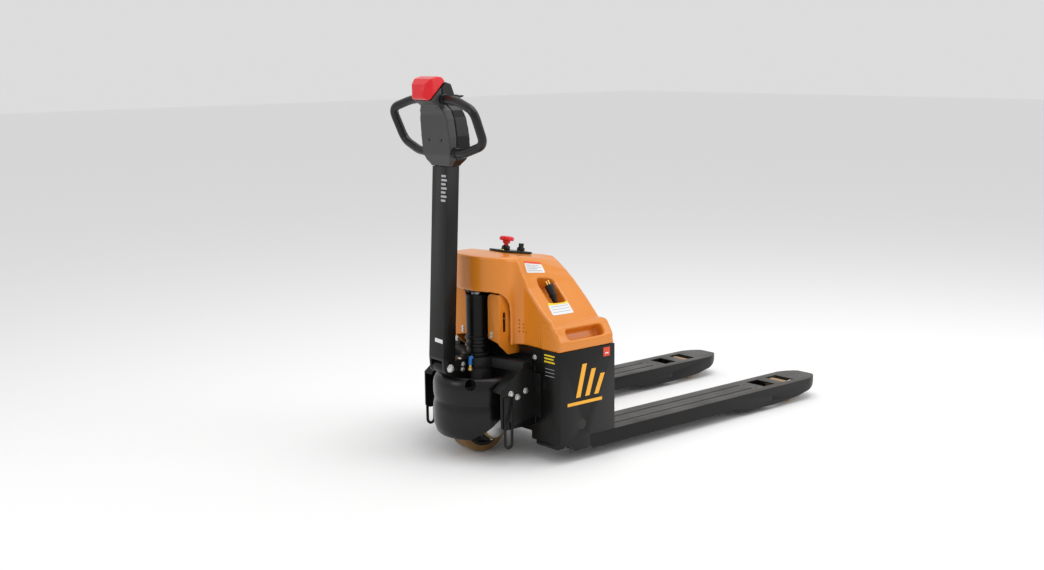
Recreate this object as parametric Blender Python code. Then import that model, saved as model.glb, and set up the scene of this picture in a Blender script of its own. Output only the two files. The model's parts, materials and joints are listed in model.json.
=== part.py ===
"""Electric pallet truck, lowered, tiller upright. Metres, +Z up, +X from the operator to the fork tips.

Inside this file X is measured from the battery box's rear face, and one empty moves the whole truck
so that the middle of its footprint is at the origin. The near side is -Y, which is the truck's right.
"""

from math import asin, atan2, cos, degrees, hypot, pi, radians, sin

import bmesh
import bpy
from mathutils import Matrix, Vector

# Overall sizes
FORK_LENGTH = 1.150  # battery box's rear face to the fork tips
FORK_SPREAD = 0.685  # across the forks' outer sides
TILLER_TOP = 0.996  # height of the tiller arm's upper end

# Running gear
LIFT = 0.115
STEER_REACH = 0.325  # battery box's rear face to the steering axis
DRIVE_WHEEL_RADIUS = 0.105
DRIVE_WHEEL_WIDTH = 0.070
ROLLER_RADIUS = 0.040
ROLLER_WIDTH = 0.088
ROLLER_TO_TIP = 0.168  # load roller axle to the fork tip
CARRIER_LENGTH = 0.145  # carrier pivot to roller axle
CARRIER_PIVOT_Z = 0.044
PUSH_PIN_RADIUS = 0.0268  # carrier pivot to the push rod's pin

# Forks
FORK_WIDTH = 0.160
FORK_TOP = 0.085
FORK_BOTTOM = 0.034
FORK_SKIRT_BOTTOM = 0.016  # the deeper sides round the load rollers
FORK_TOP_PLATE = 0.006
FORK_SIDE_PLATE = 0.005
FORK_HEEL = 0.113  # how far the forks reach under the battery box

# Battery box and hood
BOX_LENGTH = 0.250
BOX_TOP = 0.384
BOX_BOTTOM = 0.066
PLATE = 0.006
RECESS_HALF_WIDTH = 0.196
RECESS_BACK = 0.128  # recess for the drive unit: its rear wall's distance from the box's rear face
DECK = 0.345  # underside of the deck over the recess
HOOD_TOP = 0.690  # over the box's front face
HOOD_FALL = 0.038  # how much lower its top is over the box's rear face
HOOD_WALL = 0.004
NOSE_HALF_WIDTH = 0.137
NOSE_REACH = 0.047  # nose tip ahead of the steering axis

# Steering unit
SHROUD_RADIUS = 0.158
SHROUD_TOP = 0.285
SHROUD_WALL = 0.004
NECK_RADIUS = 0.040
BARREL_RADIUS = 0.038
ROD_RADIUS = 0.020
POST_TOP = 0.560  # mast posts' upper ends, which the crosshead rests on
TILLER_PIVOT_REACH = 0.155  # steering axis to the tiller's pivot
TILLER_PIVOT_Z = 0.320
TILLER_DEPTH = 0.050
TILLER_WIDTH = 0.080
HEAD_REACH = 0.113  # middle of the tiller head to the belly button's front
TILLER_LEAN = 0.033  # how far the tiller's upper end stands towards the forks from its pivot

# Rocker
ROCKER_X = -0.152
ROCKER_Z = 0.128
ROCKER_ARM = 0.1685  # shaft to the yoke pin
ROCKER_ARM_Y = 0.177
SHAFT_RADIUS = 0.012

# Clearances
GAP = 0.0003  # between meshes that touch
RUN = 0.0008  # round a turning pin
BUTTON_TRAVEL = 0.0025
BELLY_TRAVEL = 0.003
ESTOP_TRAVEL = 0.006

# Worked out from the sizes above
HALF = FORK_SPREAD / 2
FORK_Y = HALF - FORK_WIDTH / 2
STEER_X = -STEER_REACH
BOX_FRONT = -BOX_LENGTH
PANEL_X = BOX_FRONT + 0.078  # middle of the control panel
PLUG_X = BOX_FRONT + 0.105
MAST_BACK = BOX_FRONT + 0.050  # rear edge of the deck's opening, where the mast posts stand
NOSE_TIP = STEER_X - NOSE_REACH
ROLLER_X = FORK_LENGTH - ROLLER_TO_TIP
CARRIER_PIVOT_X = ROLLER_X - CARRIER_LENGTH
CARRIER_SWING = asin((LIFT + CARRIER_PIVOT_Z - ROLLER_RADIUS) / CARRIER_LENGTH) - asin(
    (CARRIER_PIVOT_Z - ROLLER_RADIUS) / CARRIER_LENGTH
)
PUSH_TRAVEL = 2 * PUSH_PIN_RADIUS * sin(CARRIER_SWING / 2)
ROCKER_SWING = 2 * asin(LIFT / 2 / ROCKER_ARM)
ROCKER_LEVER = PUSH_TRAVEL / 2 / sin(ROCKER_SWING / 2)
YOKE_PIN_X = ROCKER_X - ROCKER_ARM * cos(ROCKER_SWING / 2)
YOKE_PIN_Z = ROCKER_Z + LIFT / 2
PUSH_Z = CARRIER_PIVOT_Z + PUSH_PIN_RADIUS * cos(CARRIER_SWING / 2)
TILLER_PIVOT_X = STEER_X - TILLER_PIVOT_REACH
HEAD_X = TILLER_PIVOT_X + TILLER_LEAN
ORIGIN_X = (HEAD_REACH - HEAD_X - FORK_LENGTH) / 2

FINISHES = {
    "black_paint": ((0.013, 0.013, 0.012), 0.38, 0.0),
    "orange_paint": ((0.745, 0.245, 0.016), 0.42, 0.0),
    "orange_plastic": ((0.745, 0.245, 0.016), 0.38, 0.0),
    "black_plastic": ((0.012, 0.012, 0.013), 0.30, 0.0),
    "grey_plastic": ((0.068, 0.068, 0.070), 0.52, 0.0),
    "red_plastic": ((0.86, 0.025, 0.030), 0.35, 0.0),
    "steel": ((0.55, 0.55, 0.56), 0.32, 1.0),
    "cast_iron": ((0.040, 0.038, 0.040), 0.55, 0.3),
    "aluminium": ((0.66, 0.66, 0.65), 0.38, 1.0),
    "brass": ((0.72, 0.50, 0.20), 0.30, 1.0),
    "polyurethane": ((0.33, 0.18, 0.055), 0.48, 0.0),
    "tan_polyurethane": ((0.50, 0.33, 0.17), 0.50, 0.0),
    "black_rubber": ((0.020, 0.020, 0.020), 0.70, 0.0),
    "blue_hose": ((0.02, 0.20, 0.60), 0.45, 0.0),
    "battery_case": ((0.06, 0.06, 0.065), 0.60, 0.0),
}


def clear_scene():
    for obj in list(bpy.data.objects):
        bpy.data.objects.remove(obj)


def finish(name):
    material = bpy.data.materials.get(name)
    if material is None:
        colour, roughness, metallic = FINISHES[name]
        material = bpy.data.materials.new(name)
        material.use_nodes = True
        shader = material.node_tree.nodes["Principled BSDF"]
        shader.inputs["Base Color"].default_value = (*colour, 1)
        shader.inputs["Roughness"].default_value = roughness
        shader.inputs["Metallic"].default_value = metallic
        material.diffuse_color = (*colour, 1)
    return material


# Shapes. Each is a mesh object in the truck's own coordinates.


def object_from(name, mesh_maker):
    mesh = bpy.data.meshes.new(name)
    work = bmesh.new()
    mesh_maker(work)
    bmesh.ops.recalc_face_normals(work, faces=work.faces)
    work.to_mesh(mesh)
    work.free()
    obj = bpy.data.objects.new(name, mesh)
    bpy.context.scene.collection.objects.link(obj)
    return obj


AXES = {
    "X": lambda a, b, h: (h, a, b),
    "Y": lambda a, b, h: (a, h, b),
    "Z": lambda a, b, h: (a, b, h),
}


def prism(name, outline, low, high, axis):
    """An outline in the two other axes, in X, Y, Z order, carried along one axis from low to high."""
    place = AXES[axis]

    def make(work):
        ends = [[work.verts.new(place(a, b, h)) for a, b in outline] for h in (low, high)]
        count = len(outline)
        work.faces.new(ends[0])
        work.faces.new(ends[1][::-1])
        for i in range(count):
            j = (i + 1) % count
            work.faces.new((ends[0][j], ends[0][i], ends[1][i], ends[1][j]))

    return object_from(name, make)


def block(name, low, high):
    (x0, y0, z0), (x1, y1, z1) = low, high
    return prism(name, [(x0, y0), (x1, y0), (x1, y1), (x0, y1)], z0, z1, "Z")


def arc(centre, radius, start, end, steps):
    """Points on a circle, from start to end degrees."""
    (a, b), turn = centre, radians(end - start)
    angles = [radians(start) + turn * i / steps for i in range(steps + 1)]
    return [(a + radius * cos(angle), b + radius * sin(angle)) for angle in angles]


def ring(centre, radius, sides):
    return arc(centre, radius, 0, 360 * (sides - 1) / sides, sides - 1)


def round_bar(name, centre, radius, low, high, axis, sides=20):
    return prism(name, ring(centre, radius, sides), low, high, axis)


def turned(name, profile, centre, axis, sides=28):
    """A profile of (radius, height) points, turned once round a line through centre along axis."""
    place = AXES[axis]

    def make(work):
        loops = []
        for radius, height in profile:
            points = ring(centre, radius, sides)
            loops.append([work.verts.new(place(a, b, height)) for a, b in points])
        for lower, upper in zip(loops, loops[1:]):
            for i in range(sides):
                j = (i + 1) % sides
                work.faces.new((lower[i], lower[j], upper[j], upper[i]))
        work.faces.new(loops[0])
        work.faces.new(loops[-1][::-1])

    return object_from(name, make)


def tube_along(name, points, radius, sides=12):
    """A round bar that follows a list of points, with flat ends."""
    route = [Vector(point) for point in points]

    def make(work):
        loops = []
        side = None
        for i, point in enumerate(route):
            ahead = route[min(i + 1, len(route) - 1)] - route[max(i - 1, 0)]
            ahead.normalize()
            if side is None:
                side = ahead.orthogonal().normalized()
            side = (side - ahead * side.dot(ahead)).normalized()
            up = ahead.cross(side)
            turns = [2 * pi * k / sides for k in range(sides)]
            loops.append([work.verts.new(point + radius * (side * cos(t) + up * sin(t))) for t in turns])
        for lower, upper in zip(loops, loops[1:]):
            for i in range(sides):
                j = (i + 1) % sides
                work.faces.new((lower[i], lower[j], upper[j], upper[i]))
        work.faces.new(loops[0])
        work.faces.new(loops[-1][::-1])

    return object_from(name, make)


def rounded_route(corners, radius, steps=4):
    """The corner points with each inner corner rounded by a quadratic curve that starts radius away."""
    points = [Vector(corner) for corner in corners]
    route = [points[0]]
    for before, corner, after in zip(points, points[1:], points[2:]):
        start = corner + (before - corner).normalized() * radius
        end = corner + (after - corner).normalized() * radius
        for i in range(steps + 1):
            t = i / steps
            route.append(start * (1 - t) ** 2 + corner * 2 * t * (1 - t) + end * t**2)
    return route + [points[-1]]


def inset(outline, depth):
    """The outline moved inwards by depth, with mitred corners. Points run anticlockwise."""
    moved = []
    count = len(outline)
    for i in range(count):
        before, here, after = (Vector(outline[(i + k) % count]) for k in (-1, 0, 1))
        first = (here - before).normalized()
        second = (after - here).normalized()
        normals = [Vector((-edge.y, edge.x)) for edge in (first, second)]
        mitre = normals[0] + normals[1]
        moved.append(tuple(here + mitre * (depth / (mitre.dot(normals[0])))))
    return moved


def anticlockwise(outline):
    area = sum(a[0] * b[1] - b[0] * a[1] for a, b in zip(outline, outline[1:] + outline[:1]))
    return outline if area > 0 else outline[::-1]


def helper(tool):
    tool.hide_render = True
    tool.display_type = "WIRE"


def boolean(target, operation, tools):
    for tool in tools:
        modifier = target.modifiers.new(operation.lower() + "_" + tool.name, "BOOLEAN")
        modifier.operation = operation
        modifier.solver = "EXACT"
        modifier.object = tool
        helper(tool)
    return target


def cut(target, *tools):
    return boolean(target, "DIFFERENCE", tools)


def add(target, *tools):
    return boolean(target, "UNION", tools)


def keep(target, *tools):
    return boolean(target, "INTERSECT", tools)


# Bodies. Each is an empty on its joint's axis, and its pieces are parented to it.


def body(name, place, parent=None):
    empty = bpy.data.objects.new(name, None)
    empty.empty_display_size = 0.05
    empty.location = place
    bpy.context.scene.collection.objects.link(empty)
    bpy.context.view_layer.update()
    if parent is not None:
        attach(empty, parent)
    return empty


def attach(obj, parent):
    """Parents obj where it stands, so that its own coordinates stay the truck's."""
    bpy.context.view_layer.update()
    obj.parent = parent
    obj.matrix_parent_inverse = parent.matrix_world.inverted()


def piece(obj, finish_name, parent):
    obj.data.materials.append(finish(finish_name))
    attach(obj, parent)
    if len(obj.data.polygons) > 24:
        obj.data.shade_smooth()
        obj.data.set_sharp_from_angle(angle=radians(30))
    return obj


SIDES = (("left", 1), ("right", -1))


# Forks


def fork(parent, word, side):
    """An inverted channel whose sides grow deeper round the load roller, with a rounded tip."""
    middle = side * FORK_Y
    skirt = [(ROLLER_X - 0.332, FORK_BOTTOM), (ROLLER_X - 0.266, FORK_SKIRT_BOTTOM)]
    skirt += [(ROLLER_X - 0.122, FORK_SKIRT_BOTTOM)]
    nose = [
        (FORK_LENGTH - 0.150, FORK_SKIRT_BOTTOM + 0.008),
        (FORK_LENGTH - 0.060, 0.042),
        (FORK_LENGTH - 0.010, 0.060),
        (FORK_LENGTH, 0.070),
        (FORK_LENGTH - 0.006, FORK_TOP),
    ]
    heel = arc((-FORK_HEEL + 0.020, FORK_BOTTOM + 0.020), 0.020, 180, 270, 4)
    outline = [(-FORK_HEEL, FORK_TOP), *heel, *skirt, *nose]
    outer = prism("fork_" + word, outline, middle - FORK_WIDTH / 2, middle + FORK_WIDTH / 2, "Y")
    plan = fork_plan(middle, FORK_WIDTH / 2, FORK_LENGTH + 0.001)
    keep(outer, prism("fork_plan_" + word, plan, -0.1, 0.3, "Z"))
    room = fork_plan(middle, FORK_WIDTH / 2 - FORK_SIDE_PLATE, FORK_LENGTH - 0.020)
    room[0] = (-FORK_HEEL - 0.01, room[0][1])
    room[-1] = (-FORK_HEEL - 0.01, room[-1][1])
    cut(outer, prism("fork_room_" + word, room, -0.1, FORK_TOP - FORK_TOP_PLATE, "Z"))
    for label, low, high in (
        ("pivot", CARRIER_PIVOT_X, CARRIER_PIVOT_X + 0.064),
        ("roller", ROLLER_X - 0.031, ROLLER_X + 0.032),
    ):
        half = FORK_WIDTH / 2 - 0.034
        window = block(
            f"fork_{label}_window_{word}", (low, middle - half, 0.05), (high, middle + half, 0.1)
        )
        cut(outer, window)
    holes = round_bar(
        "fork_pin_holes_" + word,
        (CARRIER_PIVOT_X, CARRIER_PIVOT_Z),
        0.008 + GAP,
        middle - FORK_WIDTH,
        middle + FORK_WIDTH,
        "Y",
        20,
    )
    cut(outer, holes)
    return piece(outer, "black_paint", parent)


def fork_plan(middle, half, tip):
    """The fork from above: straight sides, then a taper to a rounded tip."""
    shoulder = tip - 0.080
    quarter = [
        (shoulder, half),
        (tip - 0.045, half * 0.84),
        (tip - 0.018, half * 0.62),
        (tip - 0.004, half * 0.36),
        (tip, half * 0.12),
    ]
    near = [(x, middle - y) for x, y in quarter]
    far = [(x, middle + y) for x, y in reversed(quarter)]
    start = -FORK_HEEL - 0.001
    return [(start, middle - half), *near, *far, (start, middle + half)]


# Chassis


def chassis_box(parent):
    """A welded box open at the top, with a recess for the drive unit and room above each fork."""
    under = [
        (0, FORK_TOP + GAP),
        (-FORK_HEEL - GAP, FORK_TOP + GAP),
        (-FORK_HEEL - GAP, 0.040),
        (BOX_FRONT + 0.068, 0.040),
        (BOX_FRONT + 0.034, BOX_BOTTOM),
        (BOX_FRONT, BOX_BOTTOM),
    ]
    outline = [*under, (BOX_FRONT, BOX_TOP), (0, BOX_TOP)]
    box = prism("chassis_box", outline, -HALF, HALF, "Y")
    wide = RECESS_HALF_WIDTH
    recess = block("drive_recess", (BOX_FRONT - 0.1, -wide, -0.1), (-RECESS_BACK, wide, DECK))
    arch_half = NOSE_HALF_WIDTH - 0.004
    arch = block(
        "deck_arch", (BOX_FRONT - 0.1, -arch_half, DECK - 0.1), (MAST_BACK, arch_half, BOX_TOP + 0.1)
    )
    middle_room = block(
        "middle_room",
        (-RECESS_BACK + PLATE, -FORK_Y + FORK_WIDTH / 2, BOX_BOTTOM + 0.028),
        (-PLATE, FORK_Y - FORK_WIDTH / 2, BOX_TOP + 0.1),
    )
    rooms = [recess, arch, middle_room]
    for word, side in SIDES:
        near, far = sorted((side * (wide + PLATE), side * (HALF - PLATE)))
        rooms.append(
            block("battery_room_" + word, (BOX_FRONT + PLATE, near, 0.092), (-PLATE, far, BOX_TOP + 0.1))
        )
        slot = block(
            "lever_slot_" + word,
            (ROCKER_X - 0.045, side * FORK_Y - 0.022, 0.03),
            (-FORK_HEEL + 0.04, side * FORK_Y + 0.022, 0.1),
        )
        rooms.append(slot)
        rooms.append(
            round_bar(
                "shaft_end_hole_" + word,
                (ROCKER_X, ROCKER_Z),
                0.020,
                min(side * (HALF - 0.02), side * (HALF + 0.02)),
                max(side * (HALF - 0.02), side * (HALF + 0.02)),
                "Y",
            )
        )
    rooms.append(
        round_bar("shaft_bore", (ROCKER_X, ROCKER_Z), SHAFT_RADIUS + RUN, -HALF + 0.03, HALF - 0.03, "Y")
    )
    add(box, *heel_bars())
    cut(box, *rooms)
    return piece(box, "black_paint", parent)


def heel_bars():
    """Rounded bars under the box's front corners, ahead of the forks' heels."""
    top = BOX_BOTTOM + 0.001
    radius = 0.011
    front = BOX_FRONT + 0.004
    outline = [
        *arc((front + radius, top - radius), radius, 90, 270, 8),
        (front + 0.046, top - 2 * radius),
        (front + 0.028, top),
    ]
    bars = []
    for word, side in SIDES:
        centre = side * FORK_Y
        bars.append(prism("heel_bar_" + word, outline, centre - 0.0485, centre + 0.0485, "Y"))
    return bars


def side_brackets(parent):
    """Bent plates on the box's front that shield the yoke, with a sloping flange turned inwards."""
    outer_y = 0.214
    thick = 0.005
    back = BOX_FRONT - GAP
    outline = [
        (back, 0.330),
        (BOX_FRONT - 0.050, 0.326),
        (BOX_FRONT - 0.078, 0.306),
        (BOX_FRONT - 0.148, 0.253),
        (BOX_FRONT - 0.148, 0.130),
        (BOX_FRONT - 0.130, 0.120),
        (back, 0.120),
    ]
    for word, side in SIDES:
        low, high = sorted((side * (outer_y - thick), side * outer_y))
        plate = prism("side_bracket_" + word, outline, low, high, "Y")
        slope = [(BOX_FRONT - 0.084, 0.3014), (BOX_FRONT - 0.148, 0.253)]
        slope += [(x, z - 0.0055) for x, z in reversed(slope)]
        inner, outer = sorted((side * 0.170, side * (outer_y - 0.001)))
        flange = prism("bracket_flange_" + word, slope, inner, outer, "Y")
        foot = block(
            "bracket_foot_" + word,
            (back - 0.005, min(side * (outer_y - 0.001), side * 0.250), 0.150),
            (back, max(side * (outer_y - 0.001), side * 0.250), 0.300),
        )
        add(plate, flange, foot)
        piece(plate, "black_paint", parent)


def guard_loops(parent):
    """Flat loops that hang from the side brackets, each with one long slot."""
    middle_x, half_width = BOX_FRONT - 0.121, 0.0195
    top, low_centre = 0.235, 0.0745
    outline = [
        (middle_x + half_width, top),
        (middle_x - half_width, top),
        *arc((middle_x, low_centre), half_width, 180, 360, 10),
    ]
    slot_half = 0.0105
    slot = [
        *arc((middle_x, 0.140), slot_half, 0, 180, 6),
        *arc((middle_x, low_centre), slot_half, 180, 360, 6),
    ]
    for word, side in SIDES:
        low, high = sorted((side * (0.214 + GAP), side * 0.220))
        loop = prism("guard_loop_" + word, outline, low, high, "Y")
        cut(loop, prism("guard_slot_" + word, slot, side * 0.2 - 0.03, side * 0.2 + 0.03, "Y"))
        piece(loop, "black_paint", parent)


def mast_posts(parent):
    """Angle posts on the deck that carry the crosshead: a web along the truck and a flange across it."""
    top = POST_TOP
    back = MAST_BACK - GAP
    web_y, thick = 0.1200, 0.005
    front = STEER_X - 0.001
    web = [(back, top), (front, top), (front, 0.389), (front + 0.039, 0.352), (back, 0.352)]
    for word, side in SIDES:
        low, high = sorted((side * web_y, side * (web_y - thick)))
        post = prism("mast_post_" + word, web, low, high, "Y")
        inner, outer = sorted((side * 0.060, side * (web_y - thick / 2)))
        corner = 0.018
        flange_outline = [
            (side * (web_y - 0.0001), 0.392),
            (side * 0.060, 0.404),
            *[
                (side * (0.060 + corner * (1 - cos(a))), top - corner * (1 - sin(a)))
                for a in (0, pi / 4, pi / 2)
            ],
            (side * (web_y - 0.0001), top - 0.0001),
        ]
        flange = prism("post_flange_" + word, flange_outline, front, front + thick, "X")
        add(post, flange)
        slot = [
            *arc((front + 0.023, 0.494), 0.006, 0, 180, 6),
            *arc((front + 0.023, 0.436), 0.006, 180, 360, 6),
        ]
        cut(post, prism("post_slot_" + word, slot, side * web_y - 0.02, side * web_y + 0.02, "Y"))
        piece(post, "orange_paint", parent)


def crosshead(parent):
    bottom = POST_TOP + GAP
    outline = [
        (MAST_BACK - 0.015, -0.122),
        (MAST_BACK - 0.015, 0.122),
        (STEER_X + 0.025, 0.122),
        *arc((STEER_X, 0), 0.036, 90, 270, 10),
        (STEER_X + 0.025, -0.122),
    ]
    plate = prism("crosshead", outline, bottom, bottom + 0.022, "Z")
    seat = ROD_RADIUS - 0.006 + GAP
    cut(plate, round_bar("rod_seat", (STEER_X, 0), seat, bottom - 0.1, bottom + 0.012, "Z"))
    return piece(plate, "cast_iron", parent)


def piston_rod(parent):
    """Slides in the barrel, with a reduced end that seats in the crosshead."""
    shoulder = POST_TOP
    rod = turned(
        "piston_rod",
        [
            (ROD_RADIUS + 0.006, 0.385),
            (ROD_RADIUS + 0.006, 0.400),
            (ROD_RADIUS, 0.401),
            (ROD_RADIUS, shoulder),
            (ROD_RADIUS - 0.006, shoulder),
            (ROD_RADIUS - 0.006, shoulder + 0.011),
        ],
        (STEER_X, 0),
        "Z",
        24,
    )
    return piece(rod, "steel", parent)


# Hood


def bell(top, widths):
    """One end of the hood's cross-section, as (y, z) from the right edge over the top to the left."""
    right = [(-y, z) for y, z in widths]
    left = [(y, z) for y, z in reversed(widths)]
    return right + [(-0.030, top), (0.030, top)] + left


def hood_section(front_share, wall, bottom):
    """The cross-section between the box's rear face (0) and its front face (1), inset by the wall."""
    rear_top, front_top = HOOD_TOP - HOOD_FALL, HOOD_TOP
    rear = [(HALF - 0.001, bottom), (HALF - 0.004, 0.392), (0.312, 0.422), (0.262, 0.471), (0.200, 0.531)]
    rear += [(0.142, 0.581), (0.106, 0.607), (0.070, 0.630), (0.048, 0.643)]
    front = [(HALF - 0.001, bottom), (HALF - 0.002, 0.412), (0.330, 0.446), (0.297, 0.482), (0.241, 0.522)]
    front += [(0.177, 0.583), (0.152, 0.632), (0.141, 0.672), (0.128, 0.687)]
    mixed = []
    for (ya, za), (yb, zb) in zip(rear, front):
        mixed.append((ya + (yb - ya) * front_share, za + (zb - za) * front_share))
    top = rear_top + (front_top - rear_top) * front_share
    outline = bell(top, mixed)
    if wall:
        outline = inset(anticlockwise(outline), wall)
    return anticlockwise(outline)


def hood_block(name, wall, bottom):
    """A solid of the hood's outer shape, or of its hollow where wall is given."""
    stations = ((-wall, wall / BOX_LENGTH), (BOX_FRONT, 1), (min(NOSE_TIP, BOX_FRONT) - 0.02, 1))

    def make(work):
        loops = []
        for x, share in stations:
            points = hood_section(share, wall, bottom)
            loops.append([work.verts.new((x, y, z)) for y, z in points])
        for lower, upper in zip(loops, loops[1:]):
            count = len(lower)
            for i in range(count):
                j = (i + 1) % count
                work.faces.new((lower[i], lower[j], upper[j], upper[i]))
        work.faces.new(loops[0])
        work.faces.new(loops[-1][::-1])

    return object_from(name, make)


def hood_plan(wall):
    """The hood from above: square at the forks, with a rounded nose over the hydraulic cylinder."""
    half, nose = HALF + 0.01, NOSE_HALF_WIDTH - wall
    front = BOX_FRONT + wall
    start = min(BOX_FRONT - 0.012, STEER_X + 0.037)
    reach = start - (NOSE_TIP + wall)
    curve = [
        (start - reach * sin(angle), nose * cos(angle))
        for angle in (pi / 2 * i / 8 for i in range(9))
    ]
    side = [(0.01, half), (front, half), (front, nose)] + curve
    return side + [(x, -y) for x, y in reversed(side[:-1])]


def hood(parent):
    seam = BOX_TOP + GAP
    outer = hood_block("hood", 0, seam)
    keep(outer, prism("hood_plan", hood_plan(0), 0.2, 0.9, "Z"))
    inner = hood_block("hood_hollow", HOOD_WALL, seam - 0.05)
    keep(inner, prism("hood_hollow_plan", hood_plan(HOOD_WALL), 0.2, 0.9, "Z"))
    pocket_x, pocket_deep = (PLUG_X - 0.041, PLUG_X + 0.041), 0.500
    housing = block(
        "pocket_housing",
        (pocket_x[0] - HOOD_WALL, -0.26, pocket_deep - HOOD_WALL),
        (pocket_x[1] + HOOD_WALL, -0.116, 0.75),
    )
    cut(inner, housing)
    grips = []
    for word, side in SIDES:
        near, far = sorted((side * 0.262, side * 0.36))
        cut(inner, block("grip_housing_" + word, (BOX_FRONT + 0.024, near, 0.395), (-0.030, far, 0.55)))
        near, far = sorted((side * 0.290, side * 0.38))
        grips.append(block("grip_slot_" + word, (BOX_FRONT + 0.045, near, 0.412), (-0.052, far, 0.436)))
    cut(outer, inner)
    pocket = block("plug_pocket", (pocket_x[0], -0.30, pocket_deep), (pocket_x[1], -0.122, 0.75))
    arch = [
        (NOSE_TIP - 0.05, 0.30),
        (STEER_X + 0.037, 0.30),
        (STEER_X + 0.037, 0.490),
        *[
            (STEER_X - 0.019 + 0.056 * cos(a), 0.500 + 0.068 * sin(a))
            for a in (pi / 8 * i for i in range(1, 5))
        ],
        (NOSE_TIP - 0.05, 0.568),
    ]
    half = NOSE_HALF_WIDTH + 0.010
    mouth = prism("nose_arch", arch, -half, half, "Y")
    cut(outer, mouth, pocket, *grips)
    return piece(outer, "orange_plastic", parent)


def charger_plug(parent):
    """A tapered plug stowed in its pocket, with two blades that point up."""
    x = PLUG_X
    body_points = [(0.016, 0.5803), (0.016, 0.560), (0.011, 0.520), (0.007, 0.5003 + GAP)]
    plug = turned("charger_plug", body_points[::-1], (x, -0.175), "Z", 20)
    blades = [
        block("plug_blade_" + str(i), (x - 0.0015, y - 0.0035, 0.570), (x + 0.0015, y + 0.0035, 0.600))
        for i, y in enumerate((-0.1815, -0.1685))
    ]
    add(plug, *blades)
    return piece(plug, "black_rubber", parent)


def on_hood_slope():
    """Turns what is modelled upright at the middle of the control panel to lie on the hood's sloping top."""
    fall = atan2(HOOD_FALL, BOX_LENGTH)
    middle = Vector((PANEL_X, 0, HOOD_TOP - HOOD_FALL * (PANEL_X - BOX_FRONT) / BOX_LENGTH))
    return Matrix.Translation(middle) @ Matrix.Rotation(fall, 4, "Y")


def top_controls(chassis):
    """The panel, emergency stop and key switch, modelled upright about the panel's middle and then tilted."""
    before = set(bpy.data.objects)
    low, high = 0.0005, 0.008
    stop, key_place = (-0.024, 0), (0.045, 0)
    panel = block("control_panel", (-0.067, -0.036, low), (0.067, 0.036, high))
    cut(panel, round_bar("stop_bore", stop, 0.0085, low - 0.01, high + 0.01, "Z"))
    cut(panel, round_bar("key_bore", key_place, 0.0065, low - 0.01, high + 0.01, "Z"))
    base = turned("e_stop_base", [(0.015, high + GAP), (0.015, 0.018), (0.011, 0.024)], stop, "Z", 20)
    cut(base, round_bar("stop_guide", stop, 0.0082, 0, 0.05, "Z"))
    clear = 0.024 + ESTOP_TRAVEL + GAP
    mushroom = [
        (0.0079, 0.0095),
        (0.0079, clear),
        (0.0115, clear + 0.002),
        (0.0125, clear + 0.008),
        (0.0200, clear + 0.011),
        (0.0220, clear + 0.016),
        (0.0190, clear + 0.021),
        (0.0080, clear + 0.024),
    ]
    button = turned("e_stop_button", mushroom, stop, "Z", 24)
    switch = turned("key_switch", [(0.013, high + GAP), (0.013, 0.016), (0.011, 0.019)], key_place, "Z", 20)
    cut(switch, round_bar("key_way", key_place, 0.0052, 0, 0.05, "Z"))
    key = turned("key", [(0.0049, 0.009), (0.0049, 0.0205)], key_place, "Z", 16)
    bow_x = key_place[0]
    add(key, block("key_bow", (bow_x - 0.010, -0.0022, 0.0198), (bow_x + 0.010, 0.0022, 0.034)))
    slope = on_hood_slope()
    for obj in set(bpy.data.objects) - before:
        obj.matrix_world = slope
    stop_body = body("e_stop_axis", slope @ Vector((*stop, high)), chassis)
    key_body = body("key_axis", slope @ Vector((*key_place, high)), chassis)
    piece(panel, "black_plastic", chassis)
    piece(base, "black_plastic", chassis)
    piece(button, "red_plastic", stop_body)
    piece(switch, "black_plastic", chassis)
    piece(key, "black_plastic", key_body)


# Inside the box


def power_pack(parent):
    for word, side in SIDES:
        near, far = sorted((side * (RECESS_HALF_WIDTH + PLATE + 0.001), side * (HALF - PLATE - 0.001)))
        case = prism(
            "battery_" + word,
            [(BOX_FRONT + 0.008, near), (-0.008, near), (-0.008, far), (BOX_FRONT + 0.008, far)],
            0.165,
            0.375,
            "Z",
        )
        piece(case, "battery_case", parent)
    unit = round_bar("pump_motor", (-0.066, 0.30), 0.046, -0.040, 0.150, "Y", 28)
    tank = block("pump_tank", (-0.118, -0.176, 0.235), (-0.014, -0.030, 0.350))
    add(unit, tank)
    foot = block("pump_foot", (-0.100, 0.020, BOX_BOTTOM + 0.028 + GAP), (-0.030, 0.110, 0.262))
    add(unit, foot)
    piece(unit, "black_paint", parent)
    controller = block("motor_controller", (-0.120, -0.150, 0.100), (-0.020, -0.020, 0.200))
    fins = []
    for i in range(5):
        y = -0.146 + i * 0.0215
        fins.append(block("controller_gap_" + str(i), (-0.130, y + 0.004, 0.186), (-0.010, y + 0.015, 0.21)))
    cut(controller, *fins)
    piece(controller, "aluminium", parent)


# Yoke: the one piece that neither lifts nor steers


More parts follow.
